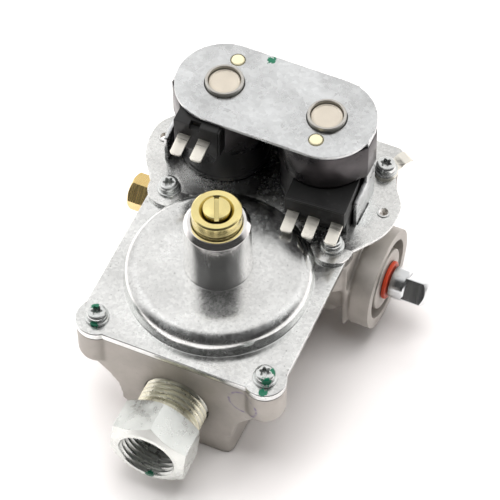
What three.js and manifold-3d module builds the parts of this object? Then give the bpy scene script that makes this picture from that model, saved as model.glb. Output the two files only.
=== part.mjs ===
// Gas valve with two solenoid shut-off valves, a spring-loaded pressure regulator and a manual plug valve.
// Millimetres, +Z up. The origin is on the regulator's axis, on the underside of the casting.
// Gas enters the hexagonal fitting at the front (-Y) and leaves by the brass orifice at the left (-X).

import * as THREE from "three";
import { mergeVertices } from "three/addons/utils/BufferGeometryUtils.js";
import Module from "manifold-3d";

const wasm = await Module();
wasm.setup();

// ---------------------------------------------------------------- driving dimensions

const FINE = 32; // segments round a large circle
const MEDIUM = 16; // segments round a shaft or a bore
const COARSE = 12; // segments round a screw or a drilled passage
const RUNNING_GAP = 0.3; // radial room round a piece that slides or turns
const SEAT_GAP = 0.2; // room round a piece that is only pushed into place

const COVER_TOP = 44;
const COVER_THICKNESS = 2.6;
const COVER_HALF_WIDTH = 34.4;
const COVER_FRONT = -34.6;
const COVER_BACK = 31.6;
const COVER_CORNER = 4;
const EAR_RADIUS = 6.9;
const DIAPHRAGM_THICKNESS = 0.5;
const DECK = COVER_TOP - COVER_THICKNESS - DIAPHRAGM_THICKNESS;

const DOME_RADIUS = 30.1;
const DOME_TOP = 52.3;
const DOME_SHOULDER = 3.6;
const DOME_WALL = 1.8;

const TOWER_FOOT_RADIUS = 11.3;
const TOWER_NECK_RADIUS = 10.35;
const TOWER_NECK = 72.5;
const TOWER_TOP = 74.4;
const TOWER_BORE = 7.6;
const CAP_RADIUS = 7.9;
const CAP_BOTTOM = 70.8;
const CAP_TOP = 80;
const CAP_RECESS_RADIUS = 5.6;
const ADJUSTER_RADIUS = 4.3;
const ADJUSTER_BOTTOM = 68.5;
const ADJUSTER_TOP = 81.6;
const SLOT_WIDTH = 1.6;
const SLOT_TURN = 24; // degrees from the Y axis, as the screw was left

const BOWL_RADIUS = 31.4;
const BOWL_BORE = 28.4;
const BOWL_FLOOR = 34;
const DIAPHRAGM_HOLE = 17;
const DIAPHRAGM_PLATE_RADIUS = 16;
const POPPET_RADIUS = 4.4;
const POPPET_TOP = 30.3;
const REGULATOR_SEAT = { outer: 7.6, inner: 3.2, bottom: 31.5, top: 35.2 };

const FRONT_WALL = -34;
const LOWER_HALF_WIDTH = 18.9;
const INLET_Z = 20.3;
const SHAFT_Y = 35.9;
const SHAFT_Z = 20.5;

const COIL_PITCH = 35.2;
const YOKE_X = -1.1; // the pair of coils stands a little left of the regulator's axis
const COIL_Y = 47.7;
const COIL_DECK = 43.2;
const COIL_PLATE_THICKNESS = 1.5;
const COIL_PLATE_TOP = COVER_TOP + COIL_PLATE_THICKNESS;
const YOKE_TOP = 78.3;
const YOKE_THICKNESS = 1.4;
const YOKE_RADIUS = 16;
const TUBE_RADIUS = 6.27;
const TUBE_BORE = 5.3;
const TUBE_TOP = 79.9;
const COIL_RADIUS = 14.6;
const BOBBIN_BOTTOM = COIL_PLATE_TOP + SEAT_GAP;
const BOBBIN_TOP = YOKE_TOP - YOKE_THICKNESS - SEAT_GAP;
const SEAT_TOP = 36;
const CHAMBER_FLOOR = 33;
const PLUNGER = { radius: 5, bottom: 38.6, top: 59, pocket: 50 };

const INLET_HEX = 25;
const ORIFICE_HEX = 11.05;
const STEM_SQUARE = 7.94;
const BOSS_FACE = 43.4; // distance of the shut-off boss's rim from the regulator's axis

const SCREW = { shank: 2, length: 12, flange: 3.9, flangeHeight: 0.9, head: 3.3, height: 3.5 };
const FRONT_SCREW = { x: 28.7, y: -29.1 };
const MIDDLE_SCREW = { x: 28.5, y: 24.5 };
const REAR_SCREW = { x: 32.8, y: 58.7 };
const SCREW_HOLE = 2.35;

const EYE_RADIUS = 4.1; // the washer and the earth terminal's ring under the rear screws
const EARTH_TAB = { thickness: 0.8, blade: 4.6, bend: 4.5, reach: 6.2, rise: 0.9, end: 9.2, turn: 58 };

const SIDES = [
  { side: "left", sign: -1 },
  { side: "right", sign: 1 },
];
const coilX = (sign) => YOKE_X + (sign * COIL_PITCH) / 2;

// The yoke's side legs, measured from the middle of the yoke.
const YOKE_LEG = { inside: 32.6, outside: COIL_PITCH / 2 + YOKE_RADIUS, slotFront: 35.4, slotBack: 44.4 };

const PIN_RADIUS = 2.2;
const TAB = { width: 3.9, thickness: 0.8, exposed: 7.7, buried: 3.4, droop: 8 };

// Each solenoid in its own frame: X and Y from the coil's axis, Z from the base.
// The right-hand terminals sit forward over the dome, on a pedestal that stands on the coil plate.
const SOLENOIDS = [
  {
    side: "left",
    sign: -1,
    pin: { x: 0.2, y: 10 },
    housing: { x: [-9.8, 5.2], y: [-18.5, 0], z: [64, 76.4], tabHeight: 70.5, turn: 1.2 },
    tabs: [-6.2, 0.6],
  },
  {
    side: "right",
    sign: 1,
    pin: { x: 0.4, y: -9.7 },
    housing: { x: [-6.4, 13.7], y: [-22.2, -6.5], z: [53.4, 60.8], tabHeight: 55.3, turn: 3.7 },
    pedestal: { x: [-6.4, 13.4], y: [-18.4, -6.5], z: [BOBBIN_BOTTOM, 54] },
    tabs: [-3.3, 3.7, 11.4],
  },
];

// ---------------------------------------------------------------- materials

function finish(color, roughness, metalness) {
  return () => new THREE.MeshStandardMaterial({ color, roughness, metalness });
}

const castAluminium = finish(0xb4aca2, 0.55, 0.7);
const galvanisedSteel = finish(0xbfc2bf, 0.35, 0.9);
const brightSteel = finish(0xc9c8c3, 0.28, 0.95);
const zincPlate = finish(0xc2c6c4, 0.25, 0.95);
const brass = finish(0xc9a23c, 0.28, 0.95);
const blackPlastic = finish(0x151515, 0.45, 0);
const creamNylon = finish(0xd8cfa4, 0.5, 0);
const blackRubber = finish(0x1c1b1a, 0.8, 0);
const redRubber = finish(0xb3361f, 0.6, 0);
const gasketPaper = finish(0x4a4a46, 0.9, 0);
const tinnedBrass = finish(0xd6d2bf, 0.35, 0.9);

// ---------------------------------------------------------------- solids from three.js geometry

function solidOf(geometry) {
  const bare = (geometry.index ? geometry.toNonIndexed() : geometry.clone())
    .deleteAttribute("normal")
    .deleteAttribute("uv");
  const merged = mergeVertices(bare, 1e-4);
  const vertProperties = new Float32Array(merged.attributes.position.array);
  const triVerts = new Uint32Array(merged.index.array);
  const solid = new wasm.Manifold(new wasm.Mesh({ numProp: 3, vertProperties, triVerts }));
  if (solid.volume() > 0) return solid;
  const turned = triVerts.slice().reverse();
  return new wasm.Manifold(new wasm.Mesh({ numProp: 3, vertProperties, triVerts: turned }));
}

function geometryOf(solid) {
  const mesh = solid.getMesh();
  const geometry = new THREE.BufferGeometry();
  geometry.setAttribute("position", new THREE.BufferAttribute(mesh.vertProperties, 3));
  geometry.setIndex(new THREE.BufferAttribute(mesh.triVerts, 1));
  geometry.computeVertexNormals();
  return geometry;
}

const join = (...solids) => solids.reduce((whole, next) => whole.add(next));
const cut = (whole, ...tools) => tools.reduce((rest, tool) => rest.subtract(tool), whole);

function block([x0, x1], [y0, y1], [z0, z1]) {
  const box = new THREE.BoxGeometry(x1 - x0, y1 - y0, z1 - z0);
  return solidOf(box.translate((x0 + x1) / 2, (y0 + y1) / 2, (z0 + z1) / 2));
}

// A round bar, or a many-sided one, between two points.
function bar(radius, from, to, segments = MEDIUM, phase = 0) {
  const start = new THREE.Vector3(...from);
  const along = new THREE.Vector3(...to).sub(start);
  const geometry = new THREE.CylinderGeometry(radius, radius, along.length(), segments);
  geometry.rotateX(Math.PI / 2).rotateZ(phase).translate(0, 0, along.length() / 2);
  const turn = new THREE.Quaternion().setFromUnitVectors(new THREE.Vector3(0, 0, 1), along.normalize());
  return solidOf(geometry.applyQuaternion(turn).translate(...from));
}

const upright = (radius, x, y, z0, z1, segments) => bar(radius, [x, y, z0], [x, y, z1], segments);

// A body of revolution about Z from [radius, height] pairs.
function turnedSolid(profile, segments = MEDIUM) {
  const points = profile.map(([radius, height]) => new THREE.Vector2(radius, height));
  return solidOf(new THREE.LatheGeometry(points, segments).rotateX(Math.PI / 2));
}

function ring(outer, inner, z0, z1, segments) {
  const section = [[inner, z0], [outer, z0], [outer, z1], [inner, z1], [inner, z0]];
  return turnedSolid(section, segments);
}

// [radius, height] pairs along an arc, angles in degrees.
function arc(centreRadius, centreHeight, radius, from, to, steps) {
  return Array.from({ length: steps + 1 }, (_, i) => {
    const angle = THREE.MathUtils.degToRad(from + ((to - from) * i) / steps);
    return [centreRadius + radius * Math.cos(angle), centreHeight + radius * Math.sin(angle)];
  });
}

function extruded(shape, z0, z1, curveSegments = 8) {
  const geometry = new THREE.ExtrudeGeometry(shape, { depth: z1 - z0, bevelEnabled: false, curveSegments });
  return solidOf(geometry.translate(0, 0, z0));
}

function polygon(points) {
  return new THREE.Shape(points.map(([x, y]) => new THREE.Vector2(x, y)));
}

function roundedRectangle([x0, x1], [y0, y1], radius) {
  const shape = new THREE.Shape();
  const quarter = Math.PI / 2;
  shape.absarc(x1 - radius, y1 - radius, radius, 0, quarter);
  shape.absarc(x0 + radius, y1 - radius, radius, quarter, 2 * quarter);
  shape.absarc(x0 + radius, y0 + radius, radius, 2 * quarter, 3 * quarter);
  shape.absarc(x1 - radius, y0 + radius, radius, 3 * quarter, 4 * quarter);
  return shape;
}

const roundedBlock = (xs, ys, [z0, z1], radius) => extruded(roundedRectangle(xs, ys, radius), z0, z1, 4);

function torus(radius, wire, z, segments = MEDIUM) {
  return solidOf(new THREE.TorusGeometry(radius, wire, 6, segments).translate(0, 0, z));
}

// A compression spring of round wire, with its ends cut square to the wire.
function coilSpring(radius, wire, z0, z1, turns) {
  class Helix extends THREE.Curve {
    getPoint(t, target = new THREE.Vector3()) {
      const angle = 2 * Math.PI * turns * t;
      const height = z0 + wire + (z1 - z0 - 2 * wire) * t;
      return target.set(radius * Math.cos(angle), radius * Math.sin(angle), height);
    }
  }
  const wireSection = new THREE.Shape().absarc(0, 0, wire, 0, 2 * Math.PI);
  const options = { steps: turns * 8, curveSegments: 3, extrudePath: new Helix(), bevelEnabled: false };
  return solidOf(new THREE.ExtrudeGeometry(wireSection, options));
}

const mirrored = (solid) => solid.mirror([1, 0, 0]);

// ---------------------------------------------------------------- scene helpers

const valve = new THREE.Group();

function put(name, solid, material, parent = valve) {
  const mesh = new THREE.Mesh(geometryOf(solid), material());
  mesh.name = name;
  parent.add(mesh);
  return mesh;
}

function place(x, y, z, turnX = 0, turnY = 0) {
  const group = new THREE.Group();
  group.position.set(x, y, z);
  group.rotation.set(turnX, turnY, 0);
  valve.add(group);
  return group;
}

// ---------------------------------------------------------------- casting

// The front wall: full width between the corner bosses, narrowing by a web to the inlet block.
function frontWall() {
  const half = [
    [33.2, DECK],
    [33.2, 29],
    [30.5, 27],
    [27.4, 26.6],
    [23, 22.2],
    [20.5, 18.7],
    [19.4, 14],
    [LOWER_HALF_WIDTH, 10],
  ];
  const outline = [...half, ...half.map(([x, z]) => [-x, z]).reverse()];
  const depth = 12;
  return extruded(polygon(outline), 0, depth).rotate([90, 0, 0]).translate([0, FRONT_WALL + depth, 0]);
}

function cornerBoss(x, y) {
  const radius = EAR_RADIUS - 0.2;
  const round = 2.6;
  const profile = [[0, 27.4], ...arc(radius - round, 30, round, -90, 0, 3), [radius, DECK], [0, DECK]];
  return turnedSolid(profile).translate([x, y, 0]);
}

function castingOutside() {
  const bowl = upright(BOWL_RADIUS, 0, 0, 29, DECK, FINE);
  const lowerBlock = roundedBlock([-LOWER_HALF_WIDTH, LOWER_HALF_WIDTH], [FRONT_WALL, 56], [0, 30], 3);
  const rearBlock = roundedBlock([-32.5, 31], [24, 65.5], [9, COIL_DECK], 5);
  const deckBack = COVER_BACK + SEAT_GAP;
  const rearDeck = roundedBlock([-35.6, 35.6], [deckBack, 66.5], [COIL_DECK - 4, COIL_DECK], 4);
  const deckEdge = roundedBlock([-33.2, 33.2], [FRONT_WALL, COVER_BACK], [DECK - 2.4, DECK], COVER_CORNER);
  const bossNeck = bar(13.5, [24, SHAFT_Y, SHAFT_Z], [37, SHAFT_Y, SHAFT_Z], FINE);
  const bossDisc = bar(17, [36.4, SHAFT_Y, SHAFT_Z], [BOSS_FACE, SHAFT_Y, SHAFT_Z], FINE);
  const bossWeb = block([33.6, 35.2], [20.4, 51.4], [10.5, DECK - 1]);
  const outletBoss = bar(8.6, [-37.2, SHAFT_Y, SHAFT_Z], [-30, SHAFT_Y, SHAFT_Z]);
  const bosses = SIDES.flatMap(({ sign }) => [
    cornerBoss(sign * FRONT_SCREW.x, FRONT_SCREW.y),
    cornerBoss(sign * MIDDLE_SCREW.x, MIDDLE_SCREW.y),
    upright(3.9, sign * REAR_SCREW.x, REAR_SCREW.y, 26, COIL_DECK),
  ]);
  const clearOfCover = block([-40, 40], [20, deckBack], [DECK, COIL_DECK + 1]);
  const whole = join(bowl, lowerBlock, rearBlock, rearDeck, deckEdge, frontWall(), ...bosses);
  return cut(join(whole, bossNeck, bossWeb, bossDisc, outletBoss), clearOfCover);
}

function screwHoles(radius, z0, z1, ...screws) {
  const hole = (sign, x, y) => upright(radius, sign * x, y, z0, z1, COARSE);
  return screws.flatMap(({ x, y }) => SIDES.map(({ sign }) => hole(sign, x, y)));
}

// The chamber below each solenoid, its raised seat and the hole through the seat.
function coilChamber(sign, seatDepth) {
  const x = coilX(sign);
  const chamber = upright(8.2, x, COIL_Y, CHAMBER_FLOOR, COIL_DECK + 1);
  const tubeFlangeLedge = upright(9.6, x, COIL_Y, 42, COIL_DECK + 1);
  const seat = upright(4.6, x, COIL_Y, CHAMBER_FLOOR - 1, SEAT_TOP);
  const hole = upright(3, x, COIL_Y, seatDepth, SEAT_TOP + 1, COARSE);
  return join(cut(join(chamber, tubeFlangeLedge), seat), hole);
}

function gasPassages() {
  const left = coilX(-1);
  const right = coilX(1);
  const regulatorPocket = upright(6.6, 0, 0, 27, BOWL_FLOOR + 1);
  const seatPocket = upright(REGULATOR_SEAT.outer + SEAT_GAP, 0, 0, REGULATOR_SEAT.bottom, BOWL_FLOOR + 1);
  const inletBore = bar(11.15, [0, FRONT_WALL - 1, INLET_Z], [0, -18.6, INLET_Z]);
  const inletPassage = bar(5, [0, -19, INLET_Z], [0, 52, INLET_Z], COARSE);
  const plugToRightCoil = bar(2.8, [0, 49, INLET_Z], [right - 5, COIL_Y, 35], COARSE);
  const rightCoilToRegulator = bar(2.2, [right, COIL_Y, 29.8], [3, 4, 29.8], COARSE);
  const regulatorToLeftCoil = bar(2.4, [-15, 18, 37.3], [left, 42, 37.3], COARSE);
  const leftCoilDrop = bar(3, [left, COIL_Y, SHAFT_Z], [left, SHAFT_Y, SHAFT_Z], COARSE);
  const outletPassage = bar(3, [left + 2, SHAFT_Y, SHAFT_Z], [-40, SHAFT_Y, SHAFT_Z], COARSE);
  const fromInlet = [inletBore, inletPassage, plugToRightCoil, rightCoilToRegulator];
  return [...fromInlet, regulatorPocket, seatPocket, regulatorToLeftCoil, leftCoilDrop, outletPassage];
}

function valveBody() {
  return cut(
    castingOutside(),
    upright(BOWL_BORE, 0, 0, BOWL_FLOOR, DECK + 1, FINE),
    ...gasPassages(),
    coilChamber(-1, SHAFT_Z),
    coilChamber(1, 29.8),
    bar(6.5 + RUNNING_GAP, [-10, SHAFT_Y, SHAFT_Z], [BOSS_FACE, SHAFT_Y, SHAFT_Z]),
    bar(13.7, [37.2, SHAFT_Y, SHAFT_Z], [BOSS_FACE + 1, SHAFT_Y, SHAFT_Z], FINE),
    bar(4.9, [-40, SHAFT_Y, SHAFT_Z], [-27.5, SHAFT_Y, SHAFT_Z]),
    ...screwHoles(SCREW_HOLE, DECK - 13, DECK + 1, FRONT_SCREW),
    ...screwHoles(SCREW_HOLE, DECK - 12, DECK + 1, MIDDLE_SCREW),
    ...screwHoles(SCREW_HOLE, COIL_DECK - 13, COIL_DECK + 1, REAR_SCREW),
  );
}

// ---------------------------------------------------------------- regulator

// The flange's outline, which swells into a disc round each front screw.
function coverSheet(z0, z1) {
  const width = [-COVER_HALF_WIDTH, COVER_HALF_WIDTH];
  const sheet = roundedBlock(width, [COVER_FRONT, COVER_BACK], [z0, z1], COVER_CORNER);
  const ears = SIDES.map(({ sign }) => upright(EAR_RADIUS, sign * FRONT_SCREW.x, FRONT_SCREW.y, z0, z1));
  return join(sheet, ...ears);
}

function regulatorCover() {
  const shoulder = DOME_RADIUS - DOME_SHOULDER;
  const outside = [
    [0, COVER_TOP - 1],
    [DOME_RADIUS, COVER_TOP - 1],
    ...arc(shoulder, DOME_TOP - DOME_SHOULDER, DOME_SHOULDER, 0, 90, 5),
    [0, DOME_TOP],
  ];
  const innerTop = DOME_TOP - DOME_WALL;
  const innerCorner = 2.2;
  const innerRadius = DOME_RADIUS - DOME_WALL;
  const hollow = [
    [0, DECK],
    [innerRadius, DECK],
    ...arc(innerRadius - innerCorner, innerTop - innerCorner, innerCorner, 0, 90, 3),
    [0, innerTop],
  ];
  const flange = coverSheet(COVER_TOP - COVER_THICKNESS, COVER_TOP);
  return cut(
    join(flange, turnedSolid(outside, FINE)),
    turnedSolid(hollow, FINE),
    upright(TOWER_NECK_RADIUS, 0, 0, innerTop - 1, DOME_TOP + 1),
    ...screwHoles(SCREW_HOLE, DECK, COVER_TOP + 1, FRONT_SCREW, MIDDLE_SCREW),
  );
}

function diaphragm() {
  return cut(
    coverSheet(DECK, DECK + DIAPHRAGM_THICKNESS),
    upright(DIAPHRAGM_HOLE, 0, 0, DECK - 1, DECK + 1, FINE),
    ...screwHoles(SCREW_HOLE, DECK - 1, DECK + 1, FRONT_SCREW, MIDDLE_SCREW),
  );
}

// The tower stands on the dome, with a spigot through it, and carries the cap in its mouth.
function regulatorTower() {
  const spigot = TOWER_NECK_RADIUS - SEAT_GAP;
  const innerFace = DOME_TOP - DOME_WALL;
  return turnedSolid([
    [TOWER_BORE, innerFace],
    [spigot, innerFace],
    [spigot, DOME_TOP],
    [TOWER_FOOT_RADIUS, DOME_TOP],
    [TOWER_NECK_RADIUS, TOWER_NECK],
    [9.3, TOWER_TOP],
    [CAP_RADIUS + SEAT_GAP, TOWER_TOP],
    [CAP_RADIUS + SEAT_GAP, CAP_BOTTOM - SEAT_GAP],
    [TOWER_BORE, CAP_BOTTOM - SEAT_GAP],
    [TOWER_BORE, innerFace],
  ], FINE);
}

function towerCap() {
  const threadBore = ADJUSTER_RADIUS + RUNNING_GAP;
  return turnedSolid([
    [threadBore, CAP_BOTTOM],
    [CAP_RADIUS, CAP_BOTTOM],
    [CAP_RADIUS, CAP_TOP - 0.6],
    [CAP_RADIUS - 0.6, CAP_TOP],
    [CAP_RECESS_RADIUS + 0.5, CAP_TOP],
    [CAP_RECESS_RADIUS, CAP_TOP - 3.4],
    [threadBore, CAP_TOP - 3.6],
    [threadBore, CAP_BOTTOM],
  ], FINE);
}

function adjustingScrew() {
  const crown = 12.6; // radius of the domed head
  const edgeAngle = THREE.MathUtils.radToDeg(Math.acos(ADJUSTER_RADIUS / crown));
  const dome = arc(0, ADJUSTER_TOP - crown, crown, edgeAngle, 90, 4);
  const body = turnedSolid([[0, ADJUSTER_BOTTOM], [ADJUSTER_RADIUS, ADJUSTER_BOTTOM], ...dome]);
  const reach = ADJUSTER_RADIUS + 1;
  const slotFloor = ADJUSTER_TOP - 2.6;
  const slot = block([-SLOT_WIDTH / 2, SLOT_WIDTH / 2], [-reach, reach], [slotFloor, ADJUSTER_TOP + 1]);
  return cut(body, slot.rotate([0, 0, SLOT_TURN]));
}

function springSeat() {
  return turnedSolid([
    [0, 65.2],
    [4.4, 65.2],
    [4.4, 66.8],
    [6.9, 66.8],
    [6.9, ADJUSTER_BOTTOM],
    [0, ADJUSTER_BOTTOM],
  ]);
}

function diaphragmPlate() {
  const bottom = DECK + 0.1;
  return turnedSolid([
    [0, bottom],
    [DIAPHRAGM_PLATE_RADIUS, bottom],
    [DIAPHRAGM_PLATE_RADIUS, 42.4],
    [4.4, 42.4],
    [4.4, 44],
    [0, 44],
  ], FINE);
}

// The lower clamping plate, the stem through the seat and the poppet that closes against its underside.
function poppet() {
  const stem = 1.6;
  return turnedSolid([
    [0, POPPET_TOP - 2],
    [POPPET_RADIUS, POPPET_TOP - 2],
    [POPPET_RADIUS, POPPET_TOP],
    [stem, POPPET_TOP],
    [stem, 39.6],
    [13, 39.6],
    [13, DECK],
    [0, DECK],
  ]);
}

function addRegulator() {
  const { outer, inner, bottom, top } = REGULATOR_SEAT;
  put("regulator_cover", regulatorCover(), galvanisedSteel);
  put("diaphragm", diaphragm(), blackRubber);
  put("diaphragm_plate", diaphragmPlate(), brightSteel);
  put("regulator_poppet", poppet(), brass);
  put("regulator_seat", ring(outer, inner, bottom, top), brass);
  put("regulator_tower", regulatorTower(), brightSteel);
  put("tower_cap", towerCap(), brass);
  put("adjusting_screw", adjustingScrew(), brass);
  put("spring_seat", springSeat(), brightSteel);
  put("regulator_spring", coilSpring(5.6, 0.55, 42.5, 66.7, 7), brightSteel);
}

// ---------------------------------------------------------------- solenoids

function coilPlateOutline() {
  const shape = new THREE.Shape();
  shape.moveTo(0, 24.9);
  shape.lineTo(35.3, 24.9);
  shape.lineTo(39.4, 30.8);
  shape.quadraticCurveTo(42.6, 35.2, 43.2, 41);
  shape.lineTo(43.2, 45);
  shape.quadraticCurveTo(43, 48, 40.6, 51);
  shape.quadraticCurveTo(36.6, 56, 35.9, 62);
  shape.lineTo(35.5, 66.6);
  shape.absarc(33, 66.6, 2.5, 0, Math.PI / 2);
  shape.lineTo(0, 69.1);
  return shape;
}

function coilPlate() {
  const half = extruded(coilPlateOutline(), COVER_TOP, COIL_PLATE_TOP);
  const lobe = upright(7, MIDDLE_SCREW.x, MIDDLE_SCREW.y, COVER_TOP, COIL_PLATE_TOP);
  const sideHole = upright(1.5, 38.5, 43, COVER_TOP - 1, COIL_PLATE_TOP + 1, COARSE);
  const { inside, outside, slotFront, slotBack } = YOKE_LEG;
  const legSlot = block(
    [inside - RUNNING_GAP, outside + RUNNING_GAP],
    [slotFront - RUNNING_GAP, slotBack + RUNNING_GAP],
    [COVER_TOP - 1, COIL_PLATE_TOP + 1],
  );
  const legSlots = join(legSlot, mirrored(legSlot)).translate([YOKE_X, 0, 0]);
  const right = cut(join(half, lobe), sideHole);
  return cut(
    join(right, mirrored(right)),
    legSlots,
    upright(DOME_RADIUS + 0.6, 0, 0, COVER_TOP - 1, COIL_PLATE_TOP + 1, FINE),
    ...SIDES.map(({ sign }) => upright(TUBE_RADIUS + RUNNING_GAP, coilX(sign), COIL_Y, 40, 50)),
    ...screwHoles(SCREW_HOLE, COVER_TOP - 1, COIL_PLATE_TOP + 1, MIDDLE_SCREW, REAR_SCREW),
  );
}

function coilPlateGasket() {
  return cut(
    roundedBlock([-35.6, 35.6], [COVER_BACK + 0.8, 66], [COIL_DECK, COVER_TOP], 4),
    ...SIDES.map(({ sign }) => upright(9.6, coilX(sign), COIL_Y, COIL_DECK - 1, COVER_TOP + 1)),
    ...screwHoles(SCREW_HOLE, COIL_DECK - 1, COVER_TOP + 1, REAR_SCREW),
  );
}

// One side leg of the yoke: a strip that widens forward into a foot, with a tab for its slot.
function yokeLeg() {
  const { inside, outside, slotFront, slotBack } = YOKE_LEG;
  const strip = { front: 43.2, back: 49.6 };
  const foot = { front: slotFront - 0.8, top: 56.6 };
  const outline = polygon([
    [strip.front, YOKE_TOP],
    [strip.front, foot.top + 1.7],
    [foot.front + 0.6, foot.top],
    [foot.front, foot.top - 0.6],
    [foot.front, COIL_PLATE_TOP],
    [slotFront, COIL_PLATE_TOP],
    [slotFront, COVER_TOP + SEAT_GAP],
    [slotBack, COVER_TOP + SEAT_GAP],
    [slotBack, COIL_PLATE_TOP],
    [strip.back, COIL_PLATE_TOP],
    [strip.back, YOKE_TOP],
  ]);
  return extruded(outline, inside, outside).rotate([90, 0, 90]);
}

function yokeBracket() {
  const stadium = new THREE.Shape();
  stadium.absarc(COIL_PITCH / 2, COIL_Y, YOKE_RADIUS, -Math.PI / 2, Math.PI / 2);
  stadium.absarc(-COIL_PITCH / 2, COIL_Y, YOKE_RADIUS, Math.PI / 2, (3 * Math.PI) / 2);
  const underside = YOKE_TOP - YOKE_THICKNESS;
  const top = extruded(stadium, underside, YOKE_TOP, 20);
  const back = COIL_Y + YOKE_RADIUS;
  const backWall = block([-22.2, 22.2], [back - 1.1, back + 0.3], [COIL_PLATE_TOP, YOKE_TOP]);
  const leg = yokeLeg();
  const hole = (radius, x, y) => upright(radius, x, y, underside - 1, YOKE_TOP + 1);
  const holes = SOLENOIDS.flatMap(({ sign, pin }) => [
    hole(TUBE_RADIUS + SEAT_GAP, coilX(sign), COIL_Y),
    hole(PIN_RADIUS + RUNNING_GAP, coilX(sign) + pin.x, COIL_Y + pin.y),
  ]);
  return cut(join(top, backWall, leg, mirrored(leg)).translate([YOKE_X, 0, 0]), ...holes);
}

function bobbin({ pin }) {
  const barrel = 8;
  const flange = 13.4;
  const bore = TUBE_RADIUS + RUNNING_GAP;
  const spool = turnedSolid([
    [bore, BOBBIN_BOTTOM],
    [flange, BOBBIN_BOTTOM],
    [flange, BOBBIN_BOTTOM + 1.4],
    [barrel, BOBBIN_BOTTOM + 1.4],
    [barrel, BOBBIN_TOP - 1.4],
    [flange, BOBBIN_TOP - 1.4],
    [flange, BOBBIN_TOP],
    [bore, BOBBIN_TOP],
    [bore, BOBBIN_BOTTOM],
  ], FINE);
  return join(spool, upright(PIN_RADIUS, pin.x, pin.y, BOBBIN_TOP - 0.7, YOKE_TOP + 0.4, COARSE));
}

function winding() {
  return ring(COIL_RADIUS, 8 + RUNNING_GAP, BOBBIN_BOTTOM + 1.6, BOBBIN_TOP - 1.6, FINE);
}

// A flat blade terminal, buried level in the housing and drooping a little outside it.
function terminal(front, height) {
  const { width, thickness, exposed, buried, droop } = TAB;
  const angle = THREE.MathUtils.degToRad(droop);
  const tip = [front - exposed * Math.cos(angle), height - exposed * Math.sin(angle)];
  const root = front - SEAT_GAP;
  const side = polygon([
    [front + buried, height],
    [root, height],
    tip,
    [tip[0], tip[1] - thickness],
    [root, height - thickness],
    [front + buried, height - thickness],
  ]);
  return extruded(side, -width / 2, width / 2).rotate([90, 0, 90]);
}

function terminalHousing({ housing, pedestal, tabs }) {
  const { x, y, z, tabHeight } = housing;
  const front = y[0];
  const { width, thickness, buried } = TAB;
  const shell = block(x, y, z);
  const body = pedestal ? join(shell, block(pedestal.x, pedestal.y, pedestal.z)) : shell;
  const coilRoom = upright(COIL_RADIUS + 0.4, 0, 0, BOBBIN_BOTTOM - 1, z[1] + 1, FINE);
  const tabSlots = tabs.map((centre) => block(
    [centre - width / 2 - SEAT_GAP, centre + width / 2 + SEAT_GAP],
    [front - 1, front + buried + SEAT_GAP],
    [tabHeight - thickness - SEAT_GAP, tabHeight + SEAT_GAP],
  ));
  return cut(body, coilRoom, ...tabSlots);
}

// A thin tube that the plunger slides in, flanged under the coil plate and open at the top for the core.
function guideTube() {
  return turnedSolid([
    [TUBE_BORE, 43],
    [9.3, 43],
    [9.3, COVER_TOP],
    [TUBE_RADIUS, COVER_TOP],
    [TUBE_RADIUS, TUBE_TOP],
    [TUBE_BORE, TUBE_TOP],
    [TUBE_BORE, 43],
  ]);
}

function fixedCore() {
  const radius = TUBE_BORE - 0.1;
  return turnedSolid([[0, 62], [radius, 62], [radius, TUBE_TOP - 1.1], [0, TUBE_TOP - 1.1]]);
}

function plunger() {
  const { radius, bottom, top, pocket } = PLUNGER;
  const outside = [[0, bottom], [radius, bottom], [radius, top]];
  return turnedSolid([...outside, [2.8, top], [2.8, pocket], [0, pocket]]);
}

function valveDisc() {
  return turnedSolid([[0, SEAT_TOP], [4.9, SEAT_TOP], [4.9, PLUNGER.bottom], [0, PLUNGER.bottom]]);
}

function addSolenoid(solenoid) {
  const { side, sign, housing, tabs } = solenoid;
  const frame = place(coilX(sign), COIL_Y, 0);
  const terminals = new THREE.Group();
  terminals.rotation.z = THREE.MathUtils.degToRad(housing.turn);
  frame.add(terminals);
  put(`bobbin_${side}`, bobbin(solenoid), creamNylon, frame);
  put(`coil_${side}`, winding(), blackPlastic, frame);
  put(`terminal_housing_${side}`, terminalHousing(solenoid), blackPlastic, terminals);
  tabs.forEach((centre, i) => {
    const blade = terminal(housing.y[0], housing.tabHeight);
    const tab = put(`terminal_${side}_${i + 1}`, blade, tinnedBrass, terminals);
    tab.position.x = centre;
  });
  put(`guide_tube_${side}`, guideTube(), brightSteel, frame);
  put(`fixed_core_${side}`, fixedCore(), brightSteel, frame);
  put(`plunger_${side}`, plunger(), brightSteel, frame);
  put(`plunger_spring_${side}`, coilSpring(2, 0.3, PLUNGER.pocket, 62, 5), brightSteel, frame);
  put(`valve_disc_${side}`, valveDisc(), blackRubber, frame);
  put(`tube_o_ring_${side}`, torus(7.9, 0.45, 42.5), blackRubber, frame);
}

function addSolenoids() {
  put("coil_plate", coilPlate(), brightSteel);
  put("coil_plate_gasket", coilPlateGasket(), gasketPaper);
  put("yoke_bracket", yokeBracket(), brightSteel);
  SOLENOIDS.forEach(addSolenoid);
}

// ---------------------------------------------------------------- gas connections

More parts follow.
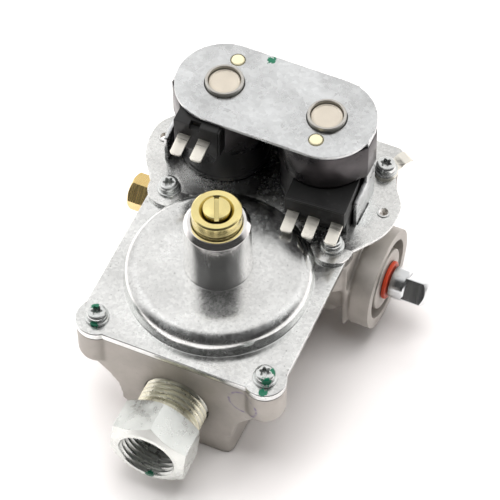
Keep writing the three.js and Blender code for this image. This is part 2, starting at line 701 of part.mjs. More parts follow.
// Local Z points out of the fitting's mouth, and the wall it screws into is at local zero.
function inletFitting() {
  const hexStart = 9.9;
  const mouth = 22.8;
  const cornerRadius = INLET_HEX / Math.sqrt(3);
  const hex = bar(cornerRadius, [0, 0, hexStart], [0, 0, mouth], 6, THREE.MathUtils.degToRad(25));
  const chamfered = turnedSolid([
    [0, hexStart],
    [13, hexStart],
    [cornerRadius, hexStart + 0.9],
    [cornerRadius, mouth - 2],
    [10.8, mouth],
    [0, mouth],
  ], FINE);
  const shank = turnedSolid([
    [0, -15],
    [10.2, -15],
    [10.9, -14],
    [10.9, 7.2],
    [10.3, 7.8],
    [10.3, hexStart + 1],
    [0, hexStart + 1],
  ]);
  return cut(
    join(hex.intersect(chamfered), shank),
    upright(9.4, 0, 0, 8, mouth + 1),
    upright(6.5, 0, 0, -16, mouth),
  );
}

function orificeFitting() {
  const cornerRadius = ORIFICE_HEX / Math.sqrt(3);
  const length = 10.2;
  const hex = bar(cornerRadius, [0, 0, 0], [0, 0, length], 6, THREE.MathUtils.degToRad(47));
  const chamfered = turnedSolid([
    [0, 0],
    [cornerRadius, 0],
    [cornerRadius, length - 0.9],
    [5.1, length],
    [0, length],
  ]);
  const shank = upright(4.6, 0, 0, -9, 1);
  const jet = upright(1.1, 0, 0, 3, length + 1);
  const bore = upright(2.6, 0, 0, -10, 4);
  return cut(join(hex.intersect(chamfered), shank), jet, bore);
}

// The plug turns in its bore with its port in line with the gas passage; a slot takes the stem's tongue.
function shutoffPlug() {
  const end = 9;
  return cut(
    bar(6.5, [0, 0, -end], [0, 0, end]),
    bar(4, [0, -8, 0], [0, 8, 0], COARSE),
    block([-8, 8], [-1.7, 1.7], [5.4, end + 1]),
  );
}

function shutoffStem() {
  const shaft = 3.5;
  const collar = 5.2;
  const square = 50.7;
  const end = 57.7;
  const body = turnedSolid([
    [0, 9.3],
    [shaft, 9.3],
    [shaft, 32],
    [2.4, 32],
    [2.4, 33.8],
    [shaft, 33.8],
    [shaft, 45.3],
    [collar, 45.3],
    [collar, square - 0.6],
    [collar - 0.6, square],
    [0, square],
  ]);
  const tongue = block([-3.4, 3.4], [-1.4, 1.4], [5.8, 9.6]);
  const half = STEM_SQUARE / Math.sqrt(2);
  const squareBar = bar(half, [0, 0, square - 0.5], [0, 0, end], 4, THREE.MathUtils.degToRad(9));
  const bevel = turnedSolid([[0, square - 1], [half, square - 1], [half, end - 1.4], [3.6, end], [0, end]]);
  return join(body, tongue, squareBar.intersect(bevel));
}

// The bonnet closes the plug's bore: a disc in the boss's recess with a sleeve that guides the stem.
function shutoffBonnet() {
  return turnedSolid([
    [3.5 + RUNNING_GAP, 12],
    [6.5, 12],
    [6.5, 37.6],
    [10.3, 37.6],
    [10.3, BOSS_FACE - 0.3],
    [10, BOSS_FACE],
    [3.5 + RUNNING_GAP, BOSS_FACE],
    [3.5 + RUNNING_GAP, 12],
  ], FINE);
}

function addConnections() {
  const inlet = place(0, FRONT_WALL, INLET_Z, Math.PI / 2, 0);
  put("inlet_fitting", inletFitting(), zincPlate, inlet);
  const outlet = place(-37.5, SHAFT_Y, SHAFT_Z, 0, -Math.PI / 2);
  put("orifice_fitting", orificeFitting(), brass, outlet);
  const shutoff = place(0, SHAFT_Y, SHAFT_Z, 0, Math.PI / 2);
  put("shutoff_plug", shutoffPlug(), brass, shutoff);
  put("shutoff_stem", shutoffStem(), zincPlate, shutoff);
  put("shutoff_bonnet", shutoffBonnet(), brightSteel, shutoff);
  put("stem_o_ring", torus(3.05, 0.6, 32.9, COARSE), blackRubber, shutoff);
  put("red_washer", ring(6.4, 3.5 + RUNNING_GAP, BOSS_FACE + 0.1, BOSS_FACE + 1.5), redRubber, shutoff);
}

// ---------------------------------------------------------------- fasteners

// Local zero is the underside of the flange, and the recess takes a six-sided key.
function panScrew() {
  const { shank, length, flange, flangeHeight, head, height } = SCREW;
  const body = turnedSolid([
    [0, -length],
    [shank, -length],
    [shank, 0],
    [flange, 0],
    [flange, flangeHeight],
    [head, flangeHeight],
    ...arc(head - 1.1, height - 1.1, 1.1, 0, 90, 2),
    [0, height],
  ], COARSE);
  return cut(body, bar(1.7, [0, 0, height - 1.9], [0, 0, height + 1], 6));
}

function addScrews() {
  const rows = [
    { name: "cover_screw", ...FRONT_SCREW, z: COVER_TOP },
    { name: "shared_screw", ...MIDDLE_SCREW, z: COIL_PLATE_TOP },
    { name: "coil_plate_screw", ...REAR_SCREW, z: COIL_PLATE_TOP + EARTH_TAB.thickness },
  ];
  for (const { name, x, y, z } of rows) {
    for (const { side, sign } of SIDES) {
      const screw = put(`${name}_${side}`, panScrew(), zincPlate);
      screw.position.set(sign * x, y, z);
    }
  }
}

// The earth terminal under the right rear screw: a ring with a blade that bends up and runs to the right.
function earthTab() {
  const { thickness, blade, bend, reach, rise, end, turn } = EARTH_TAB;
  const eye = ring(EYE_RADIUS, SCREW_HOLE, 0, thickness, MEDIUM);
  const side = polygon([
    [3, 0],
    [bend + 0.3, 0],
    [reach, rise],
    [end, rise],
    [end, rise + thickness],
    [reach - 0.3, rise + thickness],
    [bend, thickness],
    [3, thickness],
  ]);
  const strip = extruded(side, -blade / 2, blade / 2).rotate([90, 0, 0]);
  return join(eye, strip).rotate([0, 0, turn]);
}

function rearWasher() {
  return ring(EYE_RADIUS, SCREW_HOLE, 0, EARTH_TAB.thickness, MEDIUM);
}

function addRearScrewPlates() {
  const tab = put("earth_tab", earthTab(), tinnedBrass);
  tab.position.set(REAR_SCREW.x, REAR_SCREW.y, COIL_PLATE_TOP);
  const washer = put("rear_screw_washer", rearWasher(), zincPlate);
  washer.position.set(-REAR_SCREW.x, REAR_SCREW.y, COIL_PLATE_TOP);
}

// ---------------------------------------------------------------- assembly

put("valve_body", valveBody(), castAluminium);
addRegulator();
addSolenoids();
addConnections();
addScrews();
addRearScrewPlates();

export default valve;
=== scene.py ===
"""Looks of a dual-solenoid gas valve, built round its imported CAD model.

Shapes are modelled in millimetres in the CAD frame (+Z up, origin on the regulator's axis, on the casting's
underside) and scaled to metres when a piece is finished.
"""

import math

import bmesh
import bpy
from mathutils import Matrix, Vector


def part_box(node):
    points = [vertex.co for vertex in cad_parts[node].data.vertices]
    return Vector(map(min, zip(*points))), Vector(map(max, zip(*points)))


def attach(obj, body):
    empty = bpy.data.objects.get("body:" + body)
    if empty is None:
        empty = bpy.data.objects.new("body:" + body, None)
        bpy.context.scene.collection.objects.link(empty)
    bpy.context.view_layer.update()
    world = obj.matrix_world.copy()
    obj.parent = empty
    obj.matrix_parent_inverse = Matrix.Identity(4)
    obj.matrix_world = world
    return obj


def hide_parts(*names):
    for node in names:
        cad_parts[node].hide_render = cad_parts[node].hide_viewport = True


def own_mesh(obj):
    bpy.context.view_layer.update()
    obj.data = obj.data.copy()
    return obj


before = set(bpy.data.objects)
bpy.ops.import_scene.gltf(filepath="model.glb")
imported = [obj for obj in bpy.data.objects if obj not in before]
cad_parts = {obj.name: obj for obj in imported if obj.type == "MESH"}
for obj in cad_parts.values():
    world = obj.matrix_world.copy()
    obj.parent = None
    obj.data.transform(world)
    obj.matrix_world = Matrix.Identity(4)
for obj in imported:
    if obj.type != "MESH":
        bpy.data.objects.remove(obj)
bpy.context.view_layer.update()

MM = 0.001
ROUND = 96  # segments round a turned piece
SMALL_ROUND = 48  # segments round a screw or a wire
SHARP_ANGLE = math.radians(32)
X_AXIS = Matrix.Rotation(math.pi / 2, 4, "Y")  # turns local Z to +X
MINUS_X_AXIS = Matrix.Rotation(-math.pi / 2, 4, "Y")
MINUS_Y_AXIS = Matrix.Rotation(math.pi / 2, 4, "X")


class Place:
    """Where a CAD node is, in millimetres."""

    def __init__(self, node):
        low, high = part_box(node)
        self.low = low / MM
        self.high = high / MM
        self.centre = (self.low + self.high) / 2
        self.size = self.high - self.low


# ---- driving dimensions, from the frame

COVER = Place("regulator_cover")
SHEET = 2.6  # thickness of the regulator cover's sheet
COVER_TOP = COVER.low.z + SHEET
DOME_TOP = COVER.high.z
DECK = Place("diaphragm").low.z  # machined face under the diaphragm
COIL_DECK = Place("valve_body").high.z  # machined face under the coils
COIL_PLATE = Place("coil_plate")
YOKE = Place("yoke_bracket")
SHAFT = Place("shutoff_stem").centre
INLET = Place("inlet_fitting")
BOSS_FACE = Place("valve_body").high.x
OUTLET = Place("orifice_fitting")
FRONT_WALL = -34.0  # Y of the casting's front
COVER_BACK = COVER.high.y
EAR_RADIUS = 6.9  # the discs round the front screws
FRONT_SCREW = Place("cover_screw_right").centre
MIDDLE_SCREW = Place("shared_screw_right").centre
REAR_SCREW = Place("coil_plate_screw_right").centre
COVER_SCREWS = (FRONT_SCREW, MIDDLE_SCREW)
BOTH = (-1, 1)  # the signs of X on the left and on the right
COILS = {side: Place(f"guide_tube_{side}").centre for side in ("left", "right")}
COIL_RADIUS = Place("coil_left").size.x / 2
PINS = {"left": (0.2, 10.0), "right": (0.4, -9.7)}  # the bobbins' locating pins, from each coil's axis
LEFT_FACE = -37.2  # X of the casting's face behind the orifice fitting
RIGHT_SEAT = 29.8  # Z of the passage from the right solenoid's chamber
PIPE_PITCH = 1.81  # of the inlet's taper threads
INLET_HEX = 25  # across flats, like the next two
ORIFICE_HEX = 11.05
STEM_SQUARE = 7.94


# ---- outlines

def rounded(corners, closed=True, steps=6):
    """Points of a path through corners (u, v) or (u, v, fillet radius), with its fillets as arcs."""
    points = []
    last = len(corners) - 1
    for i, corner in enumerate(corners):
        here = Vector(corner[:2])
        if len(corner) == 2 or (not closed and i in (0, last)):
            points.append(here)
            continue
        to_back = (Vector(corners[i - 1][:2]) - here).normalized()
        to_next = (Vector(corners[(i + 1) % len(corners)][:2]) - here).normalized()
        half = to_back.angle(to_next) / 2
        centre = here + (to_back + to_next).normalized() * corner[2] / math.sin(half)
        start = here + to_back * corner[2] / math.tan(half) - centre
        turn = start.angle_signed(here + to_next * corner[2] / math.tan(half) - centre)
        for step in range(steps + 1):
            spun = Matrix.Rotation(-turn * step / steps, 2) @ start
            points.append(centre + spun)
    return [tuple(point) for point in points]


def box_outline(x0, x1, y0, y1, radius):
    return rounded([(x0, y0, radius), (x1, y0, radius), (x1, y1, radius), (x0, y1, radius)])


def quadratic(start, control, end, steps=10):
    """Points of a quadratic curve, without its first."""
    points = []
    for step in range(1, steps + 1):
        t = step / steps
        weights = ((1 - t) ** 2, 2 * t * (1 - t), t * t)
        points.append(tuple(sum(w * p[k] for w, p in zip(weights, (start, control, end))) for k in (0, 1)))
    return points


def round_points(radius, first, step, count):
    """Points on a circle, from an angle onwards and a step apart, both in degrees."""
    angles = [math.radians(first + step * i) for i in range(count)]
    return [(radius * math.cos(a), radius * math.sin(a)) for a in angles]


def offset(points, x, y=0.0):
    return [(x + u, y + v) for u, v in points]


# ---- closed solids, as bmeshes in millimetres

def closed(mesh):
    bmesh.ops.remove_doubles(mesh, verts=mesh.verts, dist=1e-5)
    bmesh.ops.recalc_face_normals(mesh, faces=mesh.faces)
    return mesh


def bevelled(mesh, edges, width, steps):
    bmesh.ops.bevel(mesh, geom=edges, offset=width, segments=steps, profile=0.5, affect="EDGES")
    return mesh


def level_verts(mesh, points, height):
    return [mesh.verts.new((x, y, height)) for x, y in points]


def capped_tube(mesh, rings):
    """The walls between rings of vertices, with a flat cap at both ends."""
    for near, far in zip(rings, rings[1:]):
        for i in range(len(near)):
            j = (i + 1) % len(near)
            mesh.faces.new((near[i], near[j], far[j], far[i]))
    mesh.faces.new(rings[0][::-1])
    mesh.faces.new(rings[-1])
    return closed(mesh)


def lathe(profile, segments=ROUND):
    """A turned body from (radius, height) pairs that start and end on the axis, or close on themselves."""
    mesh = bmesh.new()
    rings = []
    for radius, height in profile:
        count = 1 if radius < 1e-6 else segments
        rings.append(level_verts(mesh, round_points(radius, 0, 360 / segments, count), height))
    if profile[0][0] > 1e-6:
        rings.append(rings[0])
    for lower, upper in zip(rings, rings[1:]):
        for i in range(segments):
            corners = ((lower, i), (lower, i + 1), (upper, i + 1), (upper, i))
            face = dict.fromkeys(verts[k % len(verts)] for verts, k in corners)
            if len(face) > 2:
                mesh.faces.new(face)
    return closed(mesh)


def turned(*corners, segments=ROUND):
    """A turned body from corners that start and end on the axis, some with a fillet radius."""
    return lathe(rounded(corners, closed=False), segments)


def ring(*corners, segments=ROUND):
    """A turned ring from the corners of its section, some with a fillet radius."""
    return lathe(rounded(corners), segments)


def prism(outline, z0, z1, edge=0.0, steps=2):
    """An outline extruded along Z, with both rims rounded by edge."""
    mesh = bmesh.new()
    lower = level_verts(mesh, outline, z0)
    upper = level_verts(mesh, outline, z1)
    mesh.faces.new(lower[::-1])
    mesh.faces.new(upper)
    for i in range(len(outline)):
        j = (i + 1) % len(outline)
        mesh.faces.new((lower[i], lower[j], upper[j], upper[i]))
    closed(mesh)
    if edge:
        rims = [e for e in mesh.edges if abs(e.verts[0].co.z - e.verts[1].co.z) < 1e-6]
        bevelled(mesh, rims, edge, steps)
    return mesh


def block(xs, ys, zs, edge=0.0, steps=2):
    mesh = prism([(xs[0], ys[0]), (xs[1], ys[0]), (xs[1], ys[1]), (xs[0], ys[1])], *zs)
    return bevelled(mesh, mesh.edges[:], edge, steps) if edge else mesh


def cylinder(radius, z0, z1, segments=ROUND):
    return lathe([(0, z0), (radius, z0), (radius, z1), (0, z1)], segments)


def rod(radius, start, end, segments=32):
    """A round rod between two points."""
    along = Vector(end) - Vector(start)
    turn = Vector((0, 0, 1)).rotation_difference(along).to_matrix().to_4x4()
    return moved(cylinder(radius, 0, along.length, segments), Matrix.Translation(start) @ turn)


def threaded(root, depth, pitch, z0, z1, segments=60, rows_per_turn=10):
    """A rod with a helical V thread that runs out to its root at both ends."""
    rows = max(2, round((z1 - z0) / pitch * rows_per_turn))
    mesh = bmesh.new()
    rings = []
    for row in range(rows + 1):
        height = z0 + (z1 - z0) * row / rows
        runout = min(1.0, (height - z0) / pitch, (z1 - height) / pitch)
        points = []
        for i in range(segments):
            tooth = abs((height / pitch - i / segments) % 1 * 2 - 1)
            crest = min(1.0, max(0.0, (0.88 - tooth) / 0.76))
            points += round_points(root + depth * runout * crest, 360 * i / segments, 0, 1)
        rings.append(level_verts(mesh, points, height))
    return capped_tube(mesh, rings)


def coiled_wire(radius, wire, z0, z1, turns, closed_turns=1.0):
    """A compression spring whose end turns lie flat."""
    steps = int(turns * 36)
    mesh = bmesh.new()
    rings = []
    for step in range(steps + 1):
        turn = turns * step / steps
        travelled = min(max((turn - closed_turns) / (turns - 2 * closed_turns), 0.0), 1.0)
        lead = 2 * wire * min(turn, closed_turns) + 2 * wire * max(turn - turns + closed_turns, 0.0)
        free = z1 - z0 - 2 * wire - 4 * wire * closed_turns
        centre_height = z0 + wire + lead + free * travelled
        angle = 2 * math.pi * turn
        outward = Vector((math.cos(angle), math.sin(angle), 0))
        centre = outward * radius + Vector((0, 0, centre_height))
        section = round_points(wire * 0.96, 0, 30, 12)
        rings.append([mesh.verts.new(centre + outward * u + Vector((0, 0, v))) for u, v in section])
    return capped_tube(mesh, rings)


def moved(mesh, matrix):
    bmesh.ops.transform(mesh, matrix=matrix, verts=mesh.verts)
    return mesh


def shifted(mesh, x=0.0, y=0.0, z=0.0):
    return moved(mesh, Matrix.Translation((x, y, z)))


def spin(degrees):
    """A turn about the upright axis."""
    return Matrix.Rotation(math.radians(degrees), 4, "Z")


def placed(mesh, turn, x=0.0, y=0.0, z=0.0):
    """Turned by a matrix and then shifted."""
    return moved(mesh, Matrix.Translation((x, y, z)) @ turn)


def at_screws(radius, z0, z1, segments, *screws):
    """An upright cylinder at each of these screws and at its twin on the other side."""
    return [shifted(cylinder(radius, z0, z1, segments), sign * screw.x, screw.y)
            for screw in screws for sign in BOTH]


def mirrored(mesh):
    moved(mesh, Matrix.Scale(-1, 4, (1, 0, 0)))
    bmesh.ops.reverse_faces(mesh, faces=mesh.faces)
    return mesh


def new_object(name, data):
    thing = bpy.data.objects.new(name, data)
    bpy.context.scene.collection.objects.link(thing)
    return thing


def mesh_object(name, mesh):
    """An object made of a bmesh, which is used up."""
    data = bpy.data.meshes.new(name)
    mesh.to_mesh(data)
    mesh.free()
    return new_object(name, data)


def discard(thing):
    data = thing.data
    bpy.data.objects.remove(thing)
    bpy.data.meshes.remove(data)


def applied(thing):
    """The bmesh that an object's modifiers make of it. The object goes."""
    result = bmesh.new()
    result.from_object(thing, bpy.context.evaluated_depsgraph_get())
    discard(thing)
    return result


def combined(operation, base, tools):
    for tool in tools:
        whole = mesh_object("temporary", base)
        part = mesh_object("temporary", tool)
        boolean = whole.modifiers.new("boolean", "BOOLEAN")
        boolean.operation = operation
        boolean.solver = "MANIFOLD"
        boolean.object = part
        base = applied(whole)
        discard(part)
    return base


def joined(base, *tools):
    return combined("UNION", base, tools)


def cut(base, *tools):
    return combined("DIFFERENCE", base, tools)


def common(base, *tools):
    return combined("INTERSECT", base, tools)


def softened(mesh, voxel, passes):
    """The solid as a casting: its inner and outer corners rounded alike."""
    thing = mesh_object("temporary", mesh)
    remesh = thing.modifiers.new("remesh", "REMESH")
    remesh.mode = "VOXEL"
    remesh.voxel_size = voxel
    smooth = thing.modifiers.new("smooth", "SMOOTH")
    smooth.factor = 0.5
    smooth.iterations = passes
    return applied(thing)


def show(mesh, name, material, *nodes, slot, body="valve"):
    """A finished piece: scaled to metres, shaded, riding on its body and standing for its CAD nodes."""
    bmesh.ops.scale(mesh, vec=(MM, MM, MM), verts=mesh.verts)
    piece = mesh_object(name, mesh)
    piece.data.shade_smooth()
    piece.data.set_sharp_from_angle(angle=SHARP_ANGLE)
    piece.data.materials.append(material)
    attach(piece, body)
    if nodes:
        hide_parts(*nodes)
    return piece


# ---- materials

class Shader:
    """A material whose nodes are written as expressions. Lengths are in millimetres."""

    def __init__(self, name, roughness=0.4, metallic=0.0, base=(0.5, 0.5, 0.5)):
        self.material = bpy.data.materials.new(name)
        self.material.use_nodes = True
        self.tree = self.material.node_tree
        self.surface = self.tree.nodes["Principled BSDF"]
        self.set("Roughness", roughness)
        self.set("Metallic", metallic)
        self.set("Base Color", (*base, 1))
        place = self.add("ShaderNodeTexCoord", {}).outputs["Object"]
        self.place = self.vector("MULTIPLY", place, (1 / MM, 1 / MM, 1 / MM))

    def add(self, kind, inputs, **settings):
        """A node with these settings and with these values or links on its inputs."""
        node = self.tree.nodes.new(kind)
        for name, value in settings.items():
            setattr(node, name, value)
        for name, value in inputs.items():
            self.feed(node.inputs[name], value)
        return node

    def feed(self, socket, value):
        if isinstance(value, bpy.types.NodeSocket):
            self.tree.links.new(value, socket)
        else:
            socket.default_value = value

    def set(self, name, value):
        self.feed(self.surface.inputs[name], value)

    def math(self, operation, a, b=0.0):
        return self.add("ShaderNodeMath", {0: a, 1: b}, operation=operation).outputs[0]

    def vector(self, operation, *values):
        node = self.add("ShaderNodeVectorMath", dict(enumerate(values)), operation=operation)
        return node.outputs["Value" if operation == "DISTANCE" else "Vector"]

    def noise(self, size, detail=3.0, stretch=(1, 1, 1), output="Fac"):
        """Noise with lumps of about this size, longer along a smaller stretch."""
        place = self.vector("MULTIPLY", self.place, stretch)
        inputs = {"Vector": place, "Scale": 1 / size, "Detail": detail}
        return self.add("ShaderNodeTexNoise", inputs).outputs[output]

    def cells(self, size):
        """A random colour for each crystal of about this size."""
        noise = self.noise(size, 2.0, output="Color")
        place = self.vector("MULTIPLY_ADD", noise, (0.5 * size,) * 3, self.place)
        return self.add("ShaderNodeTexVoronoi", {"Vector": place, "Scale": 1 / size}).outputs["Color"]

    def range(self, *values):
        """A value, mapped from two limits to two others, which are 0 and 1 unless given."""
        return self.add("ShaderNodeMapRange", dict(enumerate(values))).outputs[0]

    def mix(self, share, a, b):
        node = self.add("ShaderNodeMix", {"Factor": share}, data_type="RGBA")
        colours = [s for s in node.inputs if s.type == "RGBA"]
        for socket, value in zip(colours, (a, b)):
            self.feed(socket, (*value, 1) if isinstance(value, tuple) else value)
        return [s for s in node.outputs if s.type == "RGBA"][0]

    def bump(self, height, depth, strength, before=None):
        """Relief this deep in millimetres, on top of an earlier relief."""
        inputs = {"Height": height, "Distance": depth * MM, "Strength": strength}
        if before is not None:
            inputs["Normal"] = before
        normal = self.add("ShaderNodeBump", inputs).outputs[0]
        self.set("Normal", normal)
        return normal

    def soft_edges(self, radius):
        return self.add("ShaderNodeBevel", {"Radius": radius * MM}, samples=4).outputs[0]

    def crevice(self, reach):
        """1 in the open, falling to 0 in corners: the mask of painted shade."""
        return self.add("ShaderNodeAmbientOcclusion", {"Distance": reach * MM}, samples=4).outputs["AO"]

    def near(self, point, radius):
        """1 within a ragged spot round a point, 0 outside it."""
        distance = self.vector("DISTANCE", self.place, tuple(point))
        edge = self.range(self.noise(radius * 0.5, 2.0), 0.3, 0.7, 0.65, 1.35)
        return self.range(self.math("DIVIDE", distance, edge), radius, radius * 0.9)

    def current(self, name):
        """What one of the surface's inputs is so far."""
        socket = self.surface.inputs[name]
        return socket.links[0].from_socket if socket.links else socket.default_value

    def painted(self, spots):
        """Dabs of inspection paint over whatever the surface is so far."""
        if not spots:
            return
        share = self.near(*spots[0])
        for spot in spots[1:]:
            share = self.math("MAXIMUM", share, self.near(*spot))
        self.set("Base Color", self.mix(share, self.current("Base Color"), (0.0, 0.11, 0.055)))
        for name, value in (("Metallic", 0.0), ("Roughness", 0.32)):
            self.set(name, self.range(share, 0.0, 1.0, self.current(name), value))


def cast_aluminium():
    shader = Shader("cast_aluminium", metallic=0.7)
    patch = shader.noise(9, 4.0)
    grain = shader.noise(0.55, 3.0)
    warm = shader.mix(shader.range(patch, 0.3, 0.7), (0.39, 0.365, 0.335), (0.53, 0.50, 0.465))
    # painted shade: ambient occlusion darkens the colour in corners and crevices
    crevice_shade = shader.mix(shader.range(shader.crevice(3), 0.35, 0.9), (0.26, 0.24, 0.22), warm)
    flecks = shader.range(shader.noise(1.3, 2.0), 0.64, 0.72)
    shader.set("Base Color", shader.mix(shader.math("MULTIPLY", flecks, 0.35), crevice_shade, (0.36, 0.34, 0.32)))
    shader.set("Roughness", shader.range(patch, 0.2, 0.8, 0.42, 0.6))
    edges = shader.soft_edges(0.25)
    relief = shader.bump(grain, 0.05, 0.8, edges)
    shader.bump(shader.noise(3.5, 2.0), 0.12, 0.5, relief)
    from_centre = shader.vector("DISTANCE", shader.place, INK_RING["centre"])
    off_line = shader.math("ABSOLUTE", shader.math("SUBTRACT", from_centre, INK_RING["radius"]))
    line = shader.range(off_line, INK_RING["width"], INK_RING["width"] * 0.3)
    worn = shader.range(shader.noise(1.6, 3.0), 0.42, 0.62)
    share = shader.math("MULTIPLY", shader.math("MULTIPLY", line, worn), 0.7)
    shader.set("Base Color", shader.mix(share, shader.current("Base Color"), (0.17, 0.13, 0.30)))
    return shader.material


def sheet_metal(name, tint, roughness, spangle, speckle, frost=1.25, spots=()):
    """Zinc-coated sheet: crystals that each reflect a little differently, fine scratches, small dark pits.

    Frost is how much rougher the sheet's worn patches are.
    """
    shader = Shader(name, metallic=1.0)
    split = shader.add("ShaderNodeSeparateColor", {0: shader.cells(spangle)})
    patch = shader.noise(12, 3.0)
    shade = shader.range(split.outputs[0], 0.0, 1.0, 0.9, 1.05)
    bright = tuple(min(1.0, c * 1.06) for c in tint)
    dull = tuple(c * 0.86 for c in tint)
    colour = shader.mix(shader.range(patch, 0.3, 0.7), dull, bright)
    pits = shader.range(shader.noise(0.8, 3.0), 0.66, 0.72)
    colour = shader.mix(shader.math("MULTIPLY", pits, speckle), colour, (0.22, 0.21, 0.20))
    scaled = shader.add("ShaderNodeVectorMath", {0: colour, "Scale": shade}, operation="SCALE")
    shader.set("Base Color", scaled.outputs[0])
    uneven = shader.range(patch, 0.35, 0.65, roughness * 0.85, roughness * frost)
    grain = shader.range(split.outputs[1], 0.0, 1.0, 0.8, 1.25)
    shader.set("Roughness", shader.math("MULTIPLY", uneven, grain))
    edges = shader.soft_edges(0.12)
    relief = shader.bump(split.outputs[2], 0.004, 0.6, edges)
    relief = shader.bump(shader.noise(0.35, 3.0), 0.012, 0.6, relief)
    shader.bump(shader.noise(4, 3.0, (0.15, 1, 1)), 0.02, 0.35, relief)
    shader.painted(spots)
    return shader.material


def turned_metal(name, tint, roughness, axis, groove=0.22, spots=(), corner_shade=0.3, ring_depth=0.25,
                 yellow_from=None):
    """Machined metal: fine rings round the axis, or blotches if it has none, with painted shade darkening it
    in corners.

    The plating is yellow where Y is above yellow_from.
    """
    shader = Shader(name, metallic=1.0)
    patch = shader.noise(5, 4.0)
    stretch = tuple(1.0 if axis in (k, None) else 0.03 for k in range(3))
    rings = shader.noise(groove, 2.0, stretch)
    # the colour of the painted shade in corners
    dull = tuple(c * (1 - corner_shade) for c in tint)
    colour = shader.mix(shader.range(patch, 0.3, 0.7), tuple(c * 0.9 for c in tint), tint)
    if yellow_from is not None:
        depth = shader.add("ShaderNodeSeparateXYZ", {0: shader.place})
        share = shader.range(depth.outputs["Y"], yellow_from - 1, yellow_from + 1)
        colour = shader.mix(share, colour, YELLOW_PLATING)
    # painted shade: ambient occlusion darkens the colour towards the shade colour in corners
    shader.set("Base Color", shader.mix(shader.range(shader.crevice(1.5), 0.3, 0.95), dull, colour))
    shader.set("Roughness", shader.range(rings, 0.3, 0.7, roughness * 0.75, roughness * 1.3))
    relief = shader.bump(rings, 0.012, ring_depth, shader.soft_edges(0.1))
    shader.bump(shader.noise(1.2, 3.0), 0.01, 0.3, relief)
    shader.painted(spots)
    return shader.material


def moulded(name, tint, roughness, worn, grain=0.25):
    """Moulded plastic or rubber: fine grain and faint handling marks rubbed paler."""
    shader = Shader(name)
    patch = shader.noise(6, 4.0)
    rubbed = shader.range(shader.noise(1.5, 4.0, (1, 1, 0.4)), 0.62, 0.8)
    shader.set("Base Color", shader.mix(shader.math("MULTIPLY", rubbed, 0.35), tint, worn))
    shader.set("Roughness", shader.range(patch, 0.3, 0.7, roughness * 0.85, roughness * 1.2))
    shader.set("Specular IOR Level", 0.3)
    relief = shader.bump(shader.noise(grain, 2.0), 0.02, 0.5, shader.soft_edges(0.15))
    shader.bump(shader.noise(5, 2.0), 0.05, 0.3, relief)
    return shader.material


def wound(name, dark, pale, metallic, roughness):
    """What is wound round a coil: satin, with faint vertical lines and a paler bloom."""
    shader = Shader(name, metallic=metallic)
    lines = shader.noise(0.7, 2.0, (1, 1, 0.03))
    bloom = shader.noise(8, 3.0)
    shader.set("Base Color", shader.mix(shader.range(bloom, 0.35, 0.75), dark, pale))
    shader.set("Roughness", shader.range(bloom, 0.3, 0.7, roughness * 0.8, roughness * 1.3))
    shader.set("Specular IOR Level", 0.75)
    shader.bump(lines, 0.02, 0.5, shader.soft_edges(0.15))
    return shader.material


YELLOW_PLATING = (0.76, 0.73, 0.57)
INK_RING = {"centre": (23.6, FRONT_WALL, 33.6), "radius": 5.2, "width": 0.55}
PAINT_ON_YOKE = [((-8.6, 61.6, YOKE.high.z - 1), 1.9), ((-8.2, 63.8, 76.5), 1.7)]
PAINT_ON_COVER = [((FRONT_SCREW.x + 1.4, FRONT_SCREW.y - 5.2, COVER_TOP), 1.5)]
PAINT_ON_SCREWS = [
    ((FRONT_SCREW.x + 1.6, FRONT_SCREW.y - 2.6, COVER_TOP + 2.2), 1.7),
    ((FRONT_SCREW.x + 2.6, FRONT_SCREW.y + 1.6, COVER_TOP + 3), 1.5),
    ((-FRONT_SCREW.x - 1.2, FRONT_SCREW.y + 1.5, COVER_TOP + 3.4), 1.4),
    ((-FRONT_SCREW.x + 0.6, FRONT_SCREW.y - 3.2, COVER_TOP + 1), 1.4),
]
PAINT_ON_INLET = [((INLET.centre.x + 0.8, INLET.low.y, INLET.centre.z - 9.6), 1.5)]

ALUMINIUM = cast_aluminium()
COVER_SHEET = sheet_metal("cover_sheet", (0.86, 0.87, 0.86), 0.19, 0.9, 0.6, spots=PAINT_ON_COVER)
PLATE_SHEET = sheet_metal("plate_sheet", (0.83, 0.835, 0.82), 0.23, 0.7, 0.08)
YOKE_SHEET = sheet_metal("yoke_sheet", (0.72, 0.735, 0.74), 0.22, 1.3, 0.2, 2.0, PAINT_ON_YOKE)
TOWER_METAL = turned_metal("tower_metal", (0.95, 0.94, 0.93), 0.12, 2, ring_depth=0.05)
DARK_STEEL = turned_metal("dark_steel", (0.60, 0.58, 0.54), 0.34, 2)
CORE_STEEL = turned_metal("core_steel", (0.84, 0.77, 0.66), 0.4, 2, 0.5)
SPRING_STEEL = turned_metal("spring_steel", (0.62, 0.62, 0.61), 0.24, 2)
ZINC = turned_metal("zinc_plate", (0.80, 0.82, 0.81), 0.24, 2, 0.4, PAINT_ON_SCREWS)
INLET_ZINC = turned_metal("inlet_zinc", (0.78, 0.80, 0.77), 0.3, None, 3, PAINT_ON_INLET,
                          ring_depth=0.02, yellow_from=FRONT_WALL - 9.5)
STEM_ZINC = turned_metal("stem_zinc", (0.78, 0.80, 0.81), 0.2, 0, 0.4, ring_depth=0.03)
